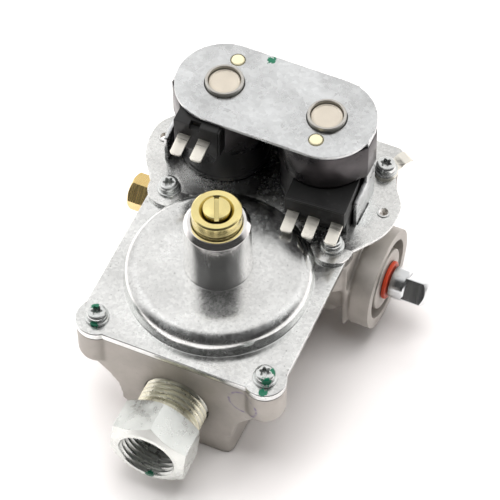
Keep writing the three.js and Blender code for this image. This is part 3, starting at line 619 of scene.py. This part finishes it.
# the brass gets darker painted shade in its corners, and the tinned brass lighter
BRASS = turned_metal("brass", (0.96, 0.82, 0.38), 0.19, 2, 0.3, corner_shade=0.45)
ORIFICE_BRASS = turned_metal("orifice_brass", (0.86, 0.64, 0.27), 0.24, 0, 0.3, ring_depth=0.05)
TINNED = turned_metal("tinned_brass", (0.90, 0.87, 0.79), 0.34, 1, 0.5, corner_shade=0.1, ring_depth=0.05)
BLACK = moulded("black_resin", (0.012, 0.012, 0.012), 0.36, (0.06, 0.06, 0.06))
CREAM = moulded("cream_nylon", (0.62, 0.57, 0.38), 0.4, (0.72, 0.68, 0.52))
RUBBER = moulded("black_rubber", (0.018, 0.018, 0.018), 0.6, (0.05, 0.05, 0.05))
RED_RUBBER = moulded("red_rubber", (0.52, 0.055, 0.02), 0.42, (0.62, 0.16, 0.08))
GASKET = moulded("gasket_sheet", (0.05, 0.048, 0.045), 0.8, (0.11, 0.11, 0.10), 0.5)
JACKET = wound("coil_jacket", (0.008, 0.008, 0.009), (0.022, 0.021, 0.022), 0.0, 0.28)
TAPE = wound("coil_tape", (0.045, 0.042, 0.044), (0.10, 0.09, 0.094), 0.75, 0.28)


# ---- casting

def turned_to_x(mesh):
    """Local Z along +X, on the shut-off shaft's axis."""
    return placed(mesh, X_AXIS, 0, SHAFT.y, SHAFT.z)


def front_wall():
    half = [
        (33.2, DECK + 1), (33.2, 29, 2), (30.5, 27, 1), (27.4, 26.6, 2), (23, 22.2, 2),
        (20.5, 18.7, 1.5), (19.4, 14, 3), (18.9, 10),
    ]
    right = rounded(half, closed=False, steps=3)
    outline = right + [(-x, z) for x, z in reversed(right)]
    wall = prism(outline, 0, 12)
    return placed(wall, MINUS_Y_AXIS, 0, FRONT_WALL + 12)


def corner_boss(x, y):
    radius = EAR_RADIUS - 0.2
    top = DECK + 1
    boss = turned((0, 27.4), (radius, 27.4, 2.6), (radius, top), (0, top), segments=SMALL_ROUND)
    return shifted(boss, x, y)


def rough_casting():
    """The casting before machining, standing 1 mm proud of its machined faces."""
    proud = 1.0
    solids = [
        cylinder(31.4, 29, DECK + proud),
        prism(box_outline(-18.9, 18.9, FRONT_WALL, 56, 3), 0, 30),
        prism(box_outline(-32.5, 31, 24, 65.5, 5), 9, COIL_DECK + proud),
        prism(box_outline(-35.6, 35.6, COVER_BACK + 0.2, 66.5, 4), COIL_DECK - 4, COIL_DECK + proud),
        prism(box_outline(-33.2, 33.2, FRONT_WALL, COVER_BACK, 4), DECK - 2.4, DECK + proud),
        front_wall(),
        turned_to_x(cylinder(13.5, 24, 37)),
        block((33.6, 35.3), (20.4, 51.4), (10.5, DECK - 1)),
        turned_to_x(cylinder(17, 36.4, BOSS_FACE + proud)),
        turned_to_x(cylinder(8.6, LEFT_FACE - proud, -30)),
    ]
    for sign in BOTH:
        solids.append(corner_boss(sign * FRONT_SCREW.x, FRONT_SCREW.y))
        solids.append(corner_boss(sign * MIDDLE_SCREW.x, MIDDLE_SCREW.y))
        rear_boss = cylinder(3.9, 26, COIL_DECK + proud, SMALL_ROUND)
        solids.append(shifted(rear_boss, sign * REAR_SCREW.x, REAR_SCREW.y))
    return softened(joined(solids[0], *solids[1:]), voxel=0.5, passes=5)


def gas_passages():
    left = COILS["left"]
    right = COILS["right"]
    level = SHAFT.z
    return [
        rod(5, (0, -19, INLET.centre.z), (0, 52, INLET.centre.z)),
        rod(2.8, (0, 49, level), (right.x - 5, right.y, 35)),
        rod(2.2, (right.x, right.y, RIGHT_SEAT), (3, 4, RIGHT_SEAT)),
        cylinder(6.6, 27, 35, SMALL_ROUND),
        cylinder(7.8, 31.5, 35, SMALL_ROUND),
        rod(2.4, (-15, 18, 37.3), (left.x, 42, 37.3)),
        rod(3, (left.x, left.y, level), (left.x, SHAFT.y, level)),
        rod(3, (left.x + 2, SHAFT.y, level), (-40, SHAFT.y, level)),
    ]


def coil_chamber(centre, seat_depth):
    seat = lathe([(3, 32), (4.6, 32), (4.6, 36), (3, 36)], SMALL_ROUND)
    top = COIL_DECK + 2
    pocket = joined(cylinder(8.2, 33, top, SMALL_ROUND), cylinder(9.6, 42, top, SMALL_ROUND))
    hole = cylinder(3, seat_depth, 37, SMALL_ROUND)
    return shifted(joined(cut(pocket, seat), hole), *centre.xy)


def valve_body():
    past_boss = BOSS_FACE + 2
    boss_recess = turned((0, 37.2), (13.3, 37.2, 1), (13.7, past_boss), (0, past_boss))
    casting = cut(
        rough_casting(),
        block((-60, 60), (-60, COVER_BACK + 0.2), (DECK, DECK + 9)),
        block((-60, 60), (COVER_BACK, 90), (COIL_DECK, COIL_DECK + 9)),
        block((BOSS_FACE, BOSS_FACE + 9), (0, 80), (-9, 60)),
        block((-50, LEFT_FACE), (0, 80), (-9, 60)),
        cylinder(28.4, 34, DECK + 2),
        *gas_passages(),
        coil_chamber(COILS["left"], SHAFT.z),
        coil_chamber(COILS["right"], RIGHT_SEAT),
        turned_to_x(cylinder(6.8, -10, past_boss, SMALL_ROUND)),
        turned_to_x(boss_recess),
        turned_to_x(cylinder(4.9, -40, -27.5, SMALL_ROUND)),
        rod(11.15, (0, FRONT_WALL - 2, INLET.centre.z), (0, -18.6, INLET.centre.z), ROUND),
        *at_screws(2.3, DECK - 12.5, DECK + 2, 24, *COVER_SCREWS),
        *at_screws(2.3, COIL_DECK - 12.5, COIL_DECK + 2, 24, REAR_SCREW),
    )
    show(casting, "valve_casting", ALUMINIUM, "valve_body", slot="cast_aluminium")


# ---- regulator

def cover_flange(inset, z0, z1):
    """The flange, which swells into a disc round each front screw."""
    half_width = 34.4 - inset
    front = -34.6 + inset
    sheet = prism(box_outline(-half_width, half_width, front, COVER_BACK - inset, 4 - inset), z0, z1)
    return joined(sheet, *at_screws(EAR_RADIUS - inset, z0, z1, ROUND, FRONT_SCREW))


def soft_rims(mesh, width, steps):
    """Bevels every edge between a level face and a wall."""
    rims = []
    for edge in mesh.edges:
        slopes = [abs(face.normal.z) for face in edge.link_faces]
        if len(slopes) == 2 and max(slopes) > 0.9 and min(slopes) < 0.1:
            rims.append(edge)
    return bevelled(mesh, rims, width, steps)


def regulator_cover():
    dome = turned(
        (0, COVER_TOP - 1.2), (31, COVER_TOP - 1.2), (31, COVER_TOP - 0.01), (30.15, COVER_TOP + 0.02, 0.35),
        (29.9, DOME_TOP - 1.0, 5), (21, DOME_TOP - 0.25, 40), (0, DOME_TOP),
    )
    ceiling = DOME_TOP - 1.9
    flange = soft_rims(cover_flange(0, COVER.low.z, COVER_TOP), 0.32, 3)
    cover = cut(
        joined(flange, dome),
        turned((0, DECK - 1), (28.3, DECK - 1), (28.3, ceiling, 2.2), (0, ceiling)),
        cylinder(10.35, DOME_TOP - 4, DOME_TOP + 1),
        *at_screws(2.4, DECK - 1, COVER_TOP + 1, SMALL_ROUND, *COVER_SCREWS),
    )
    show(cover, "cover_stamping", COVER_SHEET, "regulator_cover", slot="galvanised_sheet")


def diaphragm():
    gap = 0.02
    sheet = cut(
        cover_flange(0.35, DECK + gap, COVER.low.z - gap),
        cylinder(17, DECK - 1, COVER_TOP),
        *at_screws(2.4, DECK - 1, COVER_TOP, 24, *COVER_SCREWS),
    )
    show(sheet, "diaphragm_sheet", RUBBER, "diaphragm", slot="black_rubber")


def regulator_tower():
    tower = Place("regulator_tower")
    low, top = tower.low.z, tower.high.z
    tube = ring(
        (7.6, low), (10.15, low), (10.15, DOME_TOP - 0.2), (11.1, DOME_TOP - 0.2), (11, DOME_TOP + 0.4, 0.3),
        (10.75, DOME_TOP + 9, 2), (10.5, top - 1.9, 0.25), (9.35, top - 0.25, 0.2), (9.1, top, 0.15),
        (8.1, top, 0.2), (8.1, 70.6), (7.6, 70.6),
    )
    show(tube, "tower_tube", TOWER_METAL, "regulator_tower", slot="turned_steel")


def tower_cap():
    cap = Place("tower_cap")
    outer = cap.size.x / 2
    bore = 4.6
    lowest, top = cap.low.z, cap.high.z
    grooves = []
    for depth in (6.8, 5.7, 4.6):
        height = top - depth
        grooves += [(outer, height - 0.35), (outer - 0.3, height), (outer, height + 0.35)]
    walls = [(bore, lowest), (outer - 0.4, lowest), (outer, lowest + 0.4), *grooves]
    crown = [(outer, top - 0.5, 0.2), (outer - 0.6, top, 0.3), (5.5, top - 0.1, 0.4), (bore, top - 1.0, 0.2),
             (bore, top - 2.6)]
    show(ring(*walls, *crown), "tower_cap_ring", BRASS, "tower_cap", slot="brass")


def adjusting_screw():
    place = Place("adjusting_screw")
    radius = place.size.x / 2
    low, high = place.low.z, place.high.z
    head = turned((0, high - 4), (radius, high - 4), (radius, high - 0.75, 0.35), (2.3, high - 0.16, 3),
                  (0, high))
    shank = threaded(radius - 0.45, 0.4, 1.0, low, high - 3.5)
    slot = moved(block((-0.75, 0.75), (-radius - 1, radius + 1), (high - 1.9, high + 1)), spin(24))
    screw = cut(joined(shank, head), slot)
    show(screw, "adjuster", BRASS, "adjusting_screw", slot="brass", body="adjusting_screw")


# ---- solenoids

def plate_outline():
    """Right half of the coil plate's outline, from the middle of its front edge to the middle of its back."""
    points = [(0, 24.9), (35.3, 24.9), (39.4, 30.8)]
    points += quadratic((39.4, 30.8), (42.6, 35.2), (43.2, 41))
    points.append((43.2, 45))
    points += quadratic((43.2, 45), (43, 48), (40.6, 51))
    points += quadratic((40.6, 51), (36.6, 56), (35.9, 62))
    return points + offset(round_points(2.5, 0, 15, 7), 33, 66.6)


def coil_plate():
    low, high = COIL_PLATE.low.z, COIL_PLATE.high.z
    right = plate_outline()
    outline = right + [(-x, y) for x, y in reversed(right) if x > 0.01]
    lobes = at_screws(7, low, high, ROUND, MIDDLE_SCREW)
    dome_room = cylinder(30.9, low - 1, high + 1, 160)
    whole = soft_rims(cut(joined(prism(outline, low, high), *lobes), dome_room), 0.22, 2)
    tools = []
    collars = []
    for sign in BOTH:
        eyelet = (sign * 38.5, 43)
        tools.append(shifted(cylinder(1.5, low - 1, high + 2, 32), *eyelet))
        for screw in (MIDDLE_SCREW, REAR_SCREW):
            tools.append(shifted(cylinder(2.4, low - 1, high + 1, 32), sign * screw.x, screw.y))
        near, far = sorted((YOKE.centre.x + sign * 32.1, YOKE.centre.x + sign * 33.9))
        tools.append(block((near, far), (35.1, 44.7), (low - 1, high + 1)))
        collar = ring((1.5, high - 0.3), (2.3, high - 0.3), (2.1, high + 0.35, 0.2), (1.5, high + 0.35),
                      segments=SMALL_ROUND)
        collars.append(shifted(collar, *eyelet))
    tools += [shifted(cylinder(6.55, low - 1, high + 1), *c.xy) for c in COILS.values()]
    show(joined(cut(whole, *tools), *collars), "coil_plate_sheet", PLATE_SHEET, "coil_plate",
         slot="galvanised_sheet")


def coil_plate_gasket():
    place = Place("coil_plate_gasket")
    low, high = place.low.z + 0.02, place.high.z - 0.02
    tools = [shifted(cylinder(9.7, low - 1, high + 1), *c.xy) for c in COILS.values()]
    tools += at_screws(2.6, low - 1, high + 1, 32, REAR_SCREW)
    sheet = prism(box_outline(place.low.x, place.high.x, place.low.y, place.high.y, 6), low, high)
    show(cut(sheet, *tools), "gasket", GASKET, "coil_plate_gasket", slot="gasket_sheet")


def yoke():
    """A stadium-shaped plate with a wall folded down behind and a leg folded down at each end."""
    top = YOKE.high.z
    sheet = 1.4
    left, right = COILS["left"], COILS["right"]
    half_pitch = (right.x - left.x) / 2
    radius = 16.0
    arc = offset(round_points(radius, -90, 180 / 48, 49), half_pitch, left.y)
    plate = prism(arc + [(-x, y) for x, y in reversed(arc)], top - sheet, top, edge=0.3)
    bottom = COIL_PLATE.high.z
    back = left.y + radius + 0.3
    inside = back - 1.1
    fold = rounded([(back - 3.5, top - sheet), (inside, top - sheet, 0.5), (inside, bottom), (back, bottom),
                    (back, top, 1.5), (back - 3.5, top)])
    wall = moved(prism(fold, -22.2, 22.2, edge=0.15), spin(90) @ MINUS_Y_AXIS)
    legs = [yoke_leg(top, bottom, half_pitch + radius), mirrored(yoke_leg(top, bottom, half_pitch + radius))]
    whole = shifted(joined(plate, wall, *legs), (right.x + left.x) / 2)
    holes = []
    for side, centre in COILS.items():
        x, y = PINS[side]
        tube_hole = turned((0, top - 3), (6.5, top - 3), (6.5, top - 0.3), (6.8, top + 1), (0, top + 1))
        holes.append(shifted(tube_hole, *centre.xy))
        holes.append(shifted(cylinder(2.5, top - 3, top + 1, SMALL_ROUND), centre.x + x, centre.y + y))
    show(cut(whole, *holes), "yoke", YOKE_SHEET, "yoke_bracket", slot="plated_steel")


def yoke_leg(top, bottom, outside):
    """A strip folded down from the plate, widening forward into a foot with a tab through the coil plate."""
    back, front = 49.6, 43.2
    inside = outside - 1.2
    outline = rounded([
        (front, top - 1.5), (front, 58.3, 1), (34.6, 56.6, 0.8), (34.6, bottom), (35.4, bottom),
        (35.4, YOKE.low.z), (44.4, YOKE.low.z), (44.4, bottom), (back, bottom), (back, top - 1.5),
    ])
    upright = Matrix(((0, 0, 1, inside), (1, 0, 0, 0), (0, 1, 0, 0), (0, 0, 0, 1)))
    strip = moved(prism(outline, 0, 1.2, edge=0.15), upright)
    fold = rounded([(outside - 3.5, top - 1.4), (inside, top - 1.4, 0.4), (inside, top - 2.6),
                    (outside, top - 2.6), (outside, top, 1.3), (outside - 3.5, top)])
    return joined(strip, placed(prism(fold, front, back), MINUS_Y_AXIS, 0, front + back))


def coil(side):
    centre = COILS[side]
    bobbin = Place(f"bobbin_{side}")
    winding = Place(f"coil_{side}")
    low, top = bobbin.low.z, YOKE.high.z - 1.6
    flange = 13.4
    spool = ring((6.6, low), (flange, low, 0.3), (flange, low + 1.4, 0.3), (8, low + 1.4), (8, top - 1.4),
                 (flange, top - 1.4, 0.3), (flange, top, 0.3), (6.6, top))
    pin = turned((0, top - 0.7), (2.15, top - 0.7), (2.15, bobbin.high.z, 0.5), (0, bobbin.high.z),
                 segments=SMALL_ROUND)
    spool = shifted(joined(spool, shifted(pin, *PINS[side])), *centre.xy)
    show(spool, f"bobbin_{side}_spool", CREAM, f"bobbin_{side}", slot="cream_nylon")
    show(shifted(jacket(winding, low), *centre.xy), f"coil_{side}_jacket", JACKET, f"coil_{side}",
         slot="black_resin")
    tape_band(side, centre, top - 0.5)
    tube_and_core(side, centre)


def jacket(winding, low):
    """The covered winding, with a lip at its foot and its head."""
    bottom, top = winding.low.z, winding.high.z
    inner = 13.7
    outer = COIL_RADIUS
    foot, head = outer + 0.3, outer + 0.25
    return ring(
        (8.3, bottom), (inner, bottom), (inner, low + 0.1), (foot, low + 0.1, 0.3), (foot, low + 1.8, 0.3),
        (outer, low + 2.2, 0.2), (outer, top - 0.9, 0.2), (head, top - 0.7, 0.2), (head, top + 0.2, 0.3),
        (inner, top + 0.2), (inner, top), (8.3, top),
    )


def tape_band(side, centre, top):
    """Tape round the top of a coil, which goes over the yoke's leg and stops at its back wall."""
    bottom = 62
    heights = (bottom - 1, top + 1)
    outline = rounded([*round_points(15.5, 26, 4, 74), (16.2, -4.8, 0.5), (16.2, 2.2, 0.5)])
    leg_room = block((10, 16.03), (-4.6, 2.0), heights)
    back_room = block((-20, 20), (14.6, 20), heights)
    band = cut(prism(outline, bottom, top, edge=0.2), cylinder(14.75, *heights), leg_room, back_room)
    if side == "left":
        housing_room = block((-10.6, 6.2), (-20, -2), heights)
        band = cut(mirrored(band), housing_room)
    show(shifted(band, *centre.xy), f"coil_{side}_tape", TAPE, slot="black_resin")


def tube_and_core(side, centre):
    tube = Place(f"guide_tube_{side}")
    core = Place(f"fixed_core_{side}")
    low, top = tube.low.z, tube.high.z
    wall = ring((5.3, low), (9.3, low), (9.3, low + 1), (6.27, low + 1, 0.3), (6.27, top, 0.45),
                (5.3, top, 0.3))
    show(shifted(wall, *centre.xy), f"guide_tube_{side}_wall", DARK_STEEL, f"guide_tube_{side}",
         slot="plated_steel")
    low, face = core.low.z, core.high.z
    slug = turned((0, low), (5.2, low, 0.3), (5.2, face, 0.4), (4.5, face, 0.2), (4.35, face - 0.15, 0.1),
                  (0, face - 0.1))
    show(shifted(slug, *centre.xy), f"fixed_core_{side}_slug", CORE_STEEL, f"fixed_core_{side}",
         slot="turned_steel")


def terminal_block(side, shell, degrees, tabs, front, height):
    """A housing and its blades, modelled square to the yoke and turned about their coil's axis."""
    turn = Matrix.Translation((*COILS[side].xy, 0)) @ spin(degrees)
    show(moved(shell, turn), f"terminal_block_{side}", BLACK, f"terminal_housing_{side}", slot="black_resin")
    for number, x in enumerate(tabs, 1):
        name = f"terminal_{side}_{number}"
        blade = moved(shifted(blade_terminal(front), x, 0, height), turn)
        show(blade, f"{name}_blade", TINNED, name, slot="tinned_brass")


def terminal_slots(xs, front, height):
    return [block((x - 2.15, x + 2.15), (front - 1, front + 3.6), (height - 1.0, height + 0.2)) for x in xs]


def left_terminals():
    front, height, tabs = -18.5, 70.5, (-6.2, 0.6)
    shell = block((-9.8, 5.2), (front, -4), (64, 76.4), edge=0.3)
    notch = block((-4.4, -0.9), (front - 1, front + 2.0), (74.2, 77))
    shell = cut(shell, notch, cylinder(COIL_RADIUS + 0.4, 60, 80), *terminal_slots(tabs, front, height))
    rib = block((4.2, 5.2), (front + 0.4, -14), (64.4, 76), edge=0.2)
    terminal_block("left", joined(shell, shifted(rib, 0.6)), 1.2, tabs, front, height)


def right_terminals():
    front, height, tabs = -22.2, 55.3, (-3.3, 3.7, 11.4)
    shell = block((-6.4, 13.7), (front, -6.5), (53.4, 60.8), edge=0.3)
    pedestal = block((-6.3, 13.3), (-18.4, -6.6), (45.75, 54.5), edge=0.3)
    lip = block((-6.4, 13.7), (front, front + 1.0), (60.4, 61.3), edge=0.25)
    coil_room = cylinder(COIL_RADIUS + 0.4, 40, 80)
    shell = cut(joined(shell, pedestal, lip), coil_room, *terminal_slots(tabs, front, height))
    terminal_block("right", shell, 3.7, tabs, front, height)


def blade_terminal(front):
    """A flat blade: buried level, drooping a little outside, with its tip's corners taken off."""
    half, thick, exposed = 1.95, 0.8, 7.7
    droop = Matrix.Rotation(math.radians(8), 4, "X")
    tip = front - exposed
    half_tip = half - 0.7
    outline = rounded([(-half, front), (-half, tip + 0.6, 0.3), (-half_tip, tip, 0.3), (half_tip, tip, 0.3),
                       (half, tip + 0.6, 0.3), (half, front)], steps=3)
    pivot = Matrix.Translation((0, front, 0))
    blade = moved(prism(outline, -thick, 0, edge=0.14), pivot @ droop @ pivot.inverted())
    root = block((-half, half), (front - 0.15, front + 3.3), (-thick, 0), edge=0.1)
    return joined(blade, root)


# ---- gas connections

def hexagon(across_flats, z0, z1, turn):
    return prism(round_points(across_flats / math.sqrt(3), turn, 60, 6), z0, z1)


def inlet_fitting():
    """Local Z points out of the mouth, and the wall it screws into is at local zero."""
    start, mouth = 9.9, 22.8
    corner = INLET_HEX / math.sqrt(3) + 0.4
    chamfers = turned((0, start), (12.6, start), (corner, start + 1.1), (corner, mouth - 2.1),
                      (11.0, mouth - 0.1, 0.4), (10.6, mouth), (0, mouth))
    nut = common(hexagon(INLET_HEX, start, mouth, 25), chamfers)
    neck = cylinder(10.1, start - 2.4, start + 1)
    male = threaded(9.95, 0.95, PIPE_PITCH, -15, start - 1.4, 96, 12)
    past = mouth + 0.4
    mouth_bore = turned((0, start + 0.6), (9.1, start + 0.6), (9.1, mouth - 0.7), (9.8, past), (0, past))
    female = threaded(9.0, 0.85, PIPE_PITCH, start + 1, mouth + 1.5, 96, 12)
    fitting = cut(joined(nut, neck, male), mouth_bore, female, cylinder(6.5, -17, mouth, SMALL_ROUND))
    show(placed(fitting, MINUS_Y_AXIS, 0, FRONT_WALL, INLET.centre.z), "inlet_union", INLET_ZINC,
         "inlet_fitting", slot="zinc_plate")


def orifice_fitting():
    """Local Z points out of the valve, and local zero is a little outside the casting's face."""
    start = LEFT_FACE - 0.3
    length = start - OUTLET.low.x
    corner = ORIFICE_HEX / math.sqrt(3) + 0.2
    chamfers = turned((0, 0), (corner, 0), (corner, length - 0.95), (5.2, length, 0.2), (0, length),
                      segments=SMALL_ROUND)
    nut = common(hexagon(ORIFICE_HEX, 0, length, 47), chamfers)
    shank = threaded(4.2, 0.45, 1.0, -9, 0.4, 48)
    past = length + 0.1
    nozzle = lathe([(0, 3), (1.1, 3), (1.1, length - 0.8), (1.9, past), (0, past)], SMALL_ROUND)
    fitting = cut(joined(nut, shank), nozzle, cylinder(2.6, -10, 4, SMALL_ROUND))
    show(placed(fitting, MINUS_X_AXIS, start, SHAFT.y, SHAFT.z), "orifice_nozzle", ORIFICE_BRASS,
         "orifice_fitting", slot="brass")


def shutoff():
    recess = BOSS_FACE - 0.4
    bonnet = ring((3.8, 12), (6.5, 12), (6.5, 37.6), (10.3, 37.6), (10.3, BOSS_FACE, 0.5),
                  (5.6, BOSS_FACE, 0.3), (5.2, recess), (3.8, recess))
    show(turned_to_x(bonnet), "bonnet", ALUMINIUM, "shutoff_bonnet", slot="plated_steel")
    washer = Place("red_washer")
    near, far = washer.low.x, washer.high.x
    seal = ring((3.8, near), (6.4, near, 0.45), (6.4, far, 0.45), (3.8, far))
    show(turned_to_x(seal), "red_seal", RED_RUBBER, "red_washer", slot="red_rubber")
    stem()


def stem():
    square_start, end = 50.7, Place("shutoff_stem").high.x
    shaft = turned(
        (0, 9.3), (3.5, 9.3), (3.5, 32, 0.2), (2.4, 32, 0.2), (2.4, 33.8, 0.2), (3.5, 33.8, 0.2), (3.5, 45.3),
        (5.2, 45.3, 0.3), (5.2, square_start - 0.6, 0.2), (4.6, square_start, 0.2), (0, square_start),
    )
    corner = STEM_SQUARE / math.sqrt(2)
    outline = rounded([(x, y, 0.5) for x, y in round_points(corner, 9, 90, 4)])
    taper = turned((0, square_start - 1), (corner, square_start - 1), (corner, end - 1.5), (3.7, end, 0.3),
                   (0, end))
    square = common(prism(outline, square_start - 0.5, end), taper)
    tongue = block((-3.4, 3.4), (-1.4, 1.4), (5.8, 9.6), edge=0.2)
    show(turned_to_x(joined(shaft, square, tongue)), "stem", STEM_ZINC, "shutoff_stem",
         slot="zinc_plate", body="shutoff")


# ---- fasteners

def lobed_recess(top):
    """A six-lobed driver recess."""
    outline = []
    for i in range(72):
        angle = 2 * math.pi * i / 72
        radius = 1.62 + 0.3 * math.cos(6 * angle)
        outline.append((radius * math.cos(angle), radius * math.sin(angle)))
    return prism(outline, top - 1.8, top + 1)


def screws():
    for name in ("cover_screw", "shared_screw", "coil_plate_screw"):
        for side, turn in (("left", 0.4), ("right", 1.1)):
            place = Place(f"{name}_{side}")
            low, top = place.low.z, place.high.z
            seat = top - 3.5
            head = turned(
                (0, seat - 0.6), (1.9, seat - 0.6), (1.9, seat), (3.9, seat, 0.15), (3.9, seat + 0.75, 0.3),
                (3.25, seat + 1.0, 0.25), (3.3, top, 1.15), (2.3, top - 0.02, 0.3), (0, top - 0.06),
                segments=SMALL_ROUND,
            )
            shank = threaded(1.6, 0.4, 0.7, low, seat - 0.2, 32, 8)
            screw = cut(joined(shank, head), lobed_recess(top))
            screw = placed(screw, Matrix.Rotation(turn, 4, "Z"), *place.centre.xy)
            show(screw, f"{name}_{side}_threaded", ZINC, f"{name}_{side}", slot="zinc_plate")


def earth_terminal():
    thick, half, level = 0.8, 2.3, COIL_PLATE.high.z
    bore, rim = 2.35, 4.1
    eye = ring((bore, 0), (rim, 0, 0.15), (rim, thick, 0.2), (bore, thick, 0.1), segments=SMALL_ROUND)
    side = rounded([(3.2, 0), (4.8, 0, 0.8), (6.4, 0.9, 0.8), (8.2, 0.9, 0.5), (8.9, 0.2), (9.5, 0.75),
                    (8.5, 1.7, 0.9), (6.1, 1.7, 1.2), (4.5, thick, 1.2), (3.2, thick)])
    terminal = joined(eye, moved(prism(side, -half, half, edge=0.14), MINUS_Y_AXIS))
    terminal = placed(terminal, spin(58), REAR_SCREW.x, REAR_SCREW.y, level)
    show(terminal, "earth_blade", TINNED, "earth_tab", slot="tinned_brass")
    washer = ring((bore, 0, 0.1), (rim, 0, 0.1), (rim, thick, 0.25), (bore, thick, 0.1), segments=SMALL_ROUND)
    show(shifted(washer, -REAR_SCREW.x, REAR_SCREW.y, level), "rear_washer", ZINC, "rear_screw_washer",
         slot="zinc_plate")


# ---- hidden pieces

HIDDEN_FINISHES = {
    SPRING_STEEL: ("diaphragm_plate", "spring_seat"),
    BRASS: ("regulator_poppet", "regulator_seat"),
    CORE_STEEL: ("plunger_left", "plunger_right"),
    RUBBER: ("valve_disc_left", "valve_disc_right", "tube_o_ring_left", "tube_o_ring_right", "stem_o_ring"),
    ORIFICE_BRASS: ("shutoff_plug",),
}


def hidden_pieces():
    """Pieces inside the valve keep the shapes of the CAD."""
    for material, nodes in HIDDEN_FINISHES.items():
        for node in nodes:
            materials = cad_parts[node].data.materials
            materials.clear()
            materials.append(material)


def squashed(spring):
    """Gives an upright spring a mesh of its own."""
    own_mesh(spring)


def regulator_spring():
    """The spring, made in two halves that meet at its middle."""
    place = Place("regulator_spring")
    low, middle, high = place.low.z, place.centre.z, place.high.z
    reach = (-10, 10)
    for name, heights, joint, travel in (("lower", (low - 1, middle), "poppet_slide", 1.1),
                                         ("upper", (middle, high + 1), "spring_seat_slide", 2.0)):
        half = common(coiled_wire(5.6, 0.55, low, high, 8), block(reach, reach, heights))
        half = show(half, f"regulator_spring_{name}", SPRING_STEEL, "regulator_spring", slot="spring_steel")
        squashed(half)


def plunger_springs():
    for side, centre in COILS.items():
        place = Place(f"plunger_spring_{side}")
        wire = shifted(coiled_wire(2, 0.3, place.low.z, place.high.z, 7), *centre.xy)
        spring = show(wire, f"plunger_spring_{side}_wire", SPRING_STEEL, f"plunger_spring_{side}",
                      slot="spring_steel")
        squashed(spring)


# ---- stage

ROOM_GLOW = (-0.3, 0.15, 0.05, 0.92)  # from this far on the camera's side to this far away, and the two glows
CAMERA_AZIMUTH = math.radians(24.72)
CAMERA_ELEVATION = math.radians(54.39)
CAMERA_ROLL = -1.08  # degrees
CAMERA_TARGET = Vector((0.0048, 0.0135, 0.044))
CAMERA_DISTANCE = 0.979
FOCAL_LENGTH = 221.8  # millimetres, on a 36 mm sensor


def floor():
    reach = 3.0
    mesh = bmesh.new()
    corners = ((-reach, -reach), (reach, -reach), (reach, reach), (-reach, reach))
    mesh.faces.new([mesh.verts.new((x, y, 0)) for x, y in corners])
    sheet = mesh_object("floor", mesh)
    shader = Shader("floor", roughness=0.7, base=(0.88, 0.85, 0.84))
    shader.bump(shader.noise(40, 2.0), 0.02, 0.1)
    sheet.data.materials.append(shader.material)
    sheet.location.z = -0.0002


def soft_light(name, place, aim, size, lit, mirrored_glow):
    """A softbox: one lamp lights matt surfaces and its twin is what polished ones mirror."""
    for suffix, power in (("", lit), ("_glow", mirrored_glow)):
        light = bpy.data.lights.new(name + suffix, "AREA")
        light.shape = "RECTANGLE"
        light.size, light.size_y = size
        light.energy = power
        lamp = new_object(name + suffix, light)
        lamp.location = place
        lamp.rotation_euler = (Vector(aim) - Vector(place)).to_track_quat("-Z", "Y").to_euler()
        lamp.visible_glossy = bool(suffix)
        lamp.visible_diffuse = not suffix


def world_light():
    """A pale room that is bright behind the valve and dark on the camera's side."""
    world = bpy.data.worlds.new("studio")
    world.use_nodes = True
    tree = world.node_tree
    room = tree.nodes["Background"]
    room.inputs["Color"].default_value = (1.0, 0.985, 0.975, 1)
    direction = tree.nodes.new("ShaderNodeTexCoord")
    away = tree.nodes.new("ShaderNodeVectorMath")
    away.operation = "DOT_PRODUCT"
    away.inputs[1].default_value = (-math.sin(CAMERA_AZIMUTH), math.cos(CAMERA_AZIMUTH), 0)
    tree.links.new(direction.outputs["Generated"], away.inputs[0])
    depth = tree.nodes.new("ShaderNodeMapRange")
    depth.interpolation_type = "SMOOTHSTEP"
    for socket, number in zip(list(depth.inputs)[1:5], ROOM_GLOW):
        socket.default_value = number
    tree.links.new(away.outputs["Value"], depth.inputs[0])
    tree.links.new(depth.outputs[0], room.inputs["Strength"])
    bpy.context.scene.world = world


def camera():
    """The camera looks down on the valve from its front right."""
    aside, behind = math.sin(CAMERA_AZIMUTH), -math.cos(CAMERA_AZIMUTH)
    level = math.cos(CAMERA_ELEVATION)
    back = Vector((aside * level, behind * level, math.sin(CAMERA_ELEVATION)))
    lens = bpy.data.cameras.new("camera")
    lens.sensor_width = 36
    lens.lens = FOCAL_LENGTH
    viewer = new_object("camera", lens)
    viewer.location = CAMERA_TARGET + back * CAMERA_DISTANCE
    viewer.rotation_mode = "QUATERNION"
    viewer.rotation_quaternion = (-back).to_track_quat("-Z", "Y") @ spin(CAMERA_ROLL).to_quaternion()
    bpy.context.scene.camera = viewer


def studio():
    floor()
    world_light()
    soft_light("left_softbox", (-0.5, -0.05, 0.7), (-0.5, -0.05, 0), (0.5, 0.94), 3, 9)
    soft_light("right_softbox", (0.7, 0.2, 0.7), (0.7, 0.2, 0), (0.5, 0.7), 1, 7)
    soft_light("back_softbox", (-0.15, 0.6, 0.8), (0, 0, 0.04), (0.3, 0.3), 2.5, 0.1)
    soft_light("top_softbox", (0.05, 0.08, 1.2), (0.05, 0.08, 0), (0.8, 0.8), 11, 0.1)
    camera()
    bpy.context.scene.view_settings.view_transform = "Standard"


# ---- assembly

valve_body()
regulator_cover()
diaphragm()
regulator_tower()
tower_cap()
adjusting_screw()
coil_plate()
coil_plate_gasket()
yoke()
coil("left")
coil("right")
left_terminals()
right_terminals()
inlet_fitting()
orifice_fitting()
shutoff()
screws()
earth_terminal()
hidden_pieces()
regulator_spring()
plunger_springs()
studio()
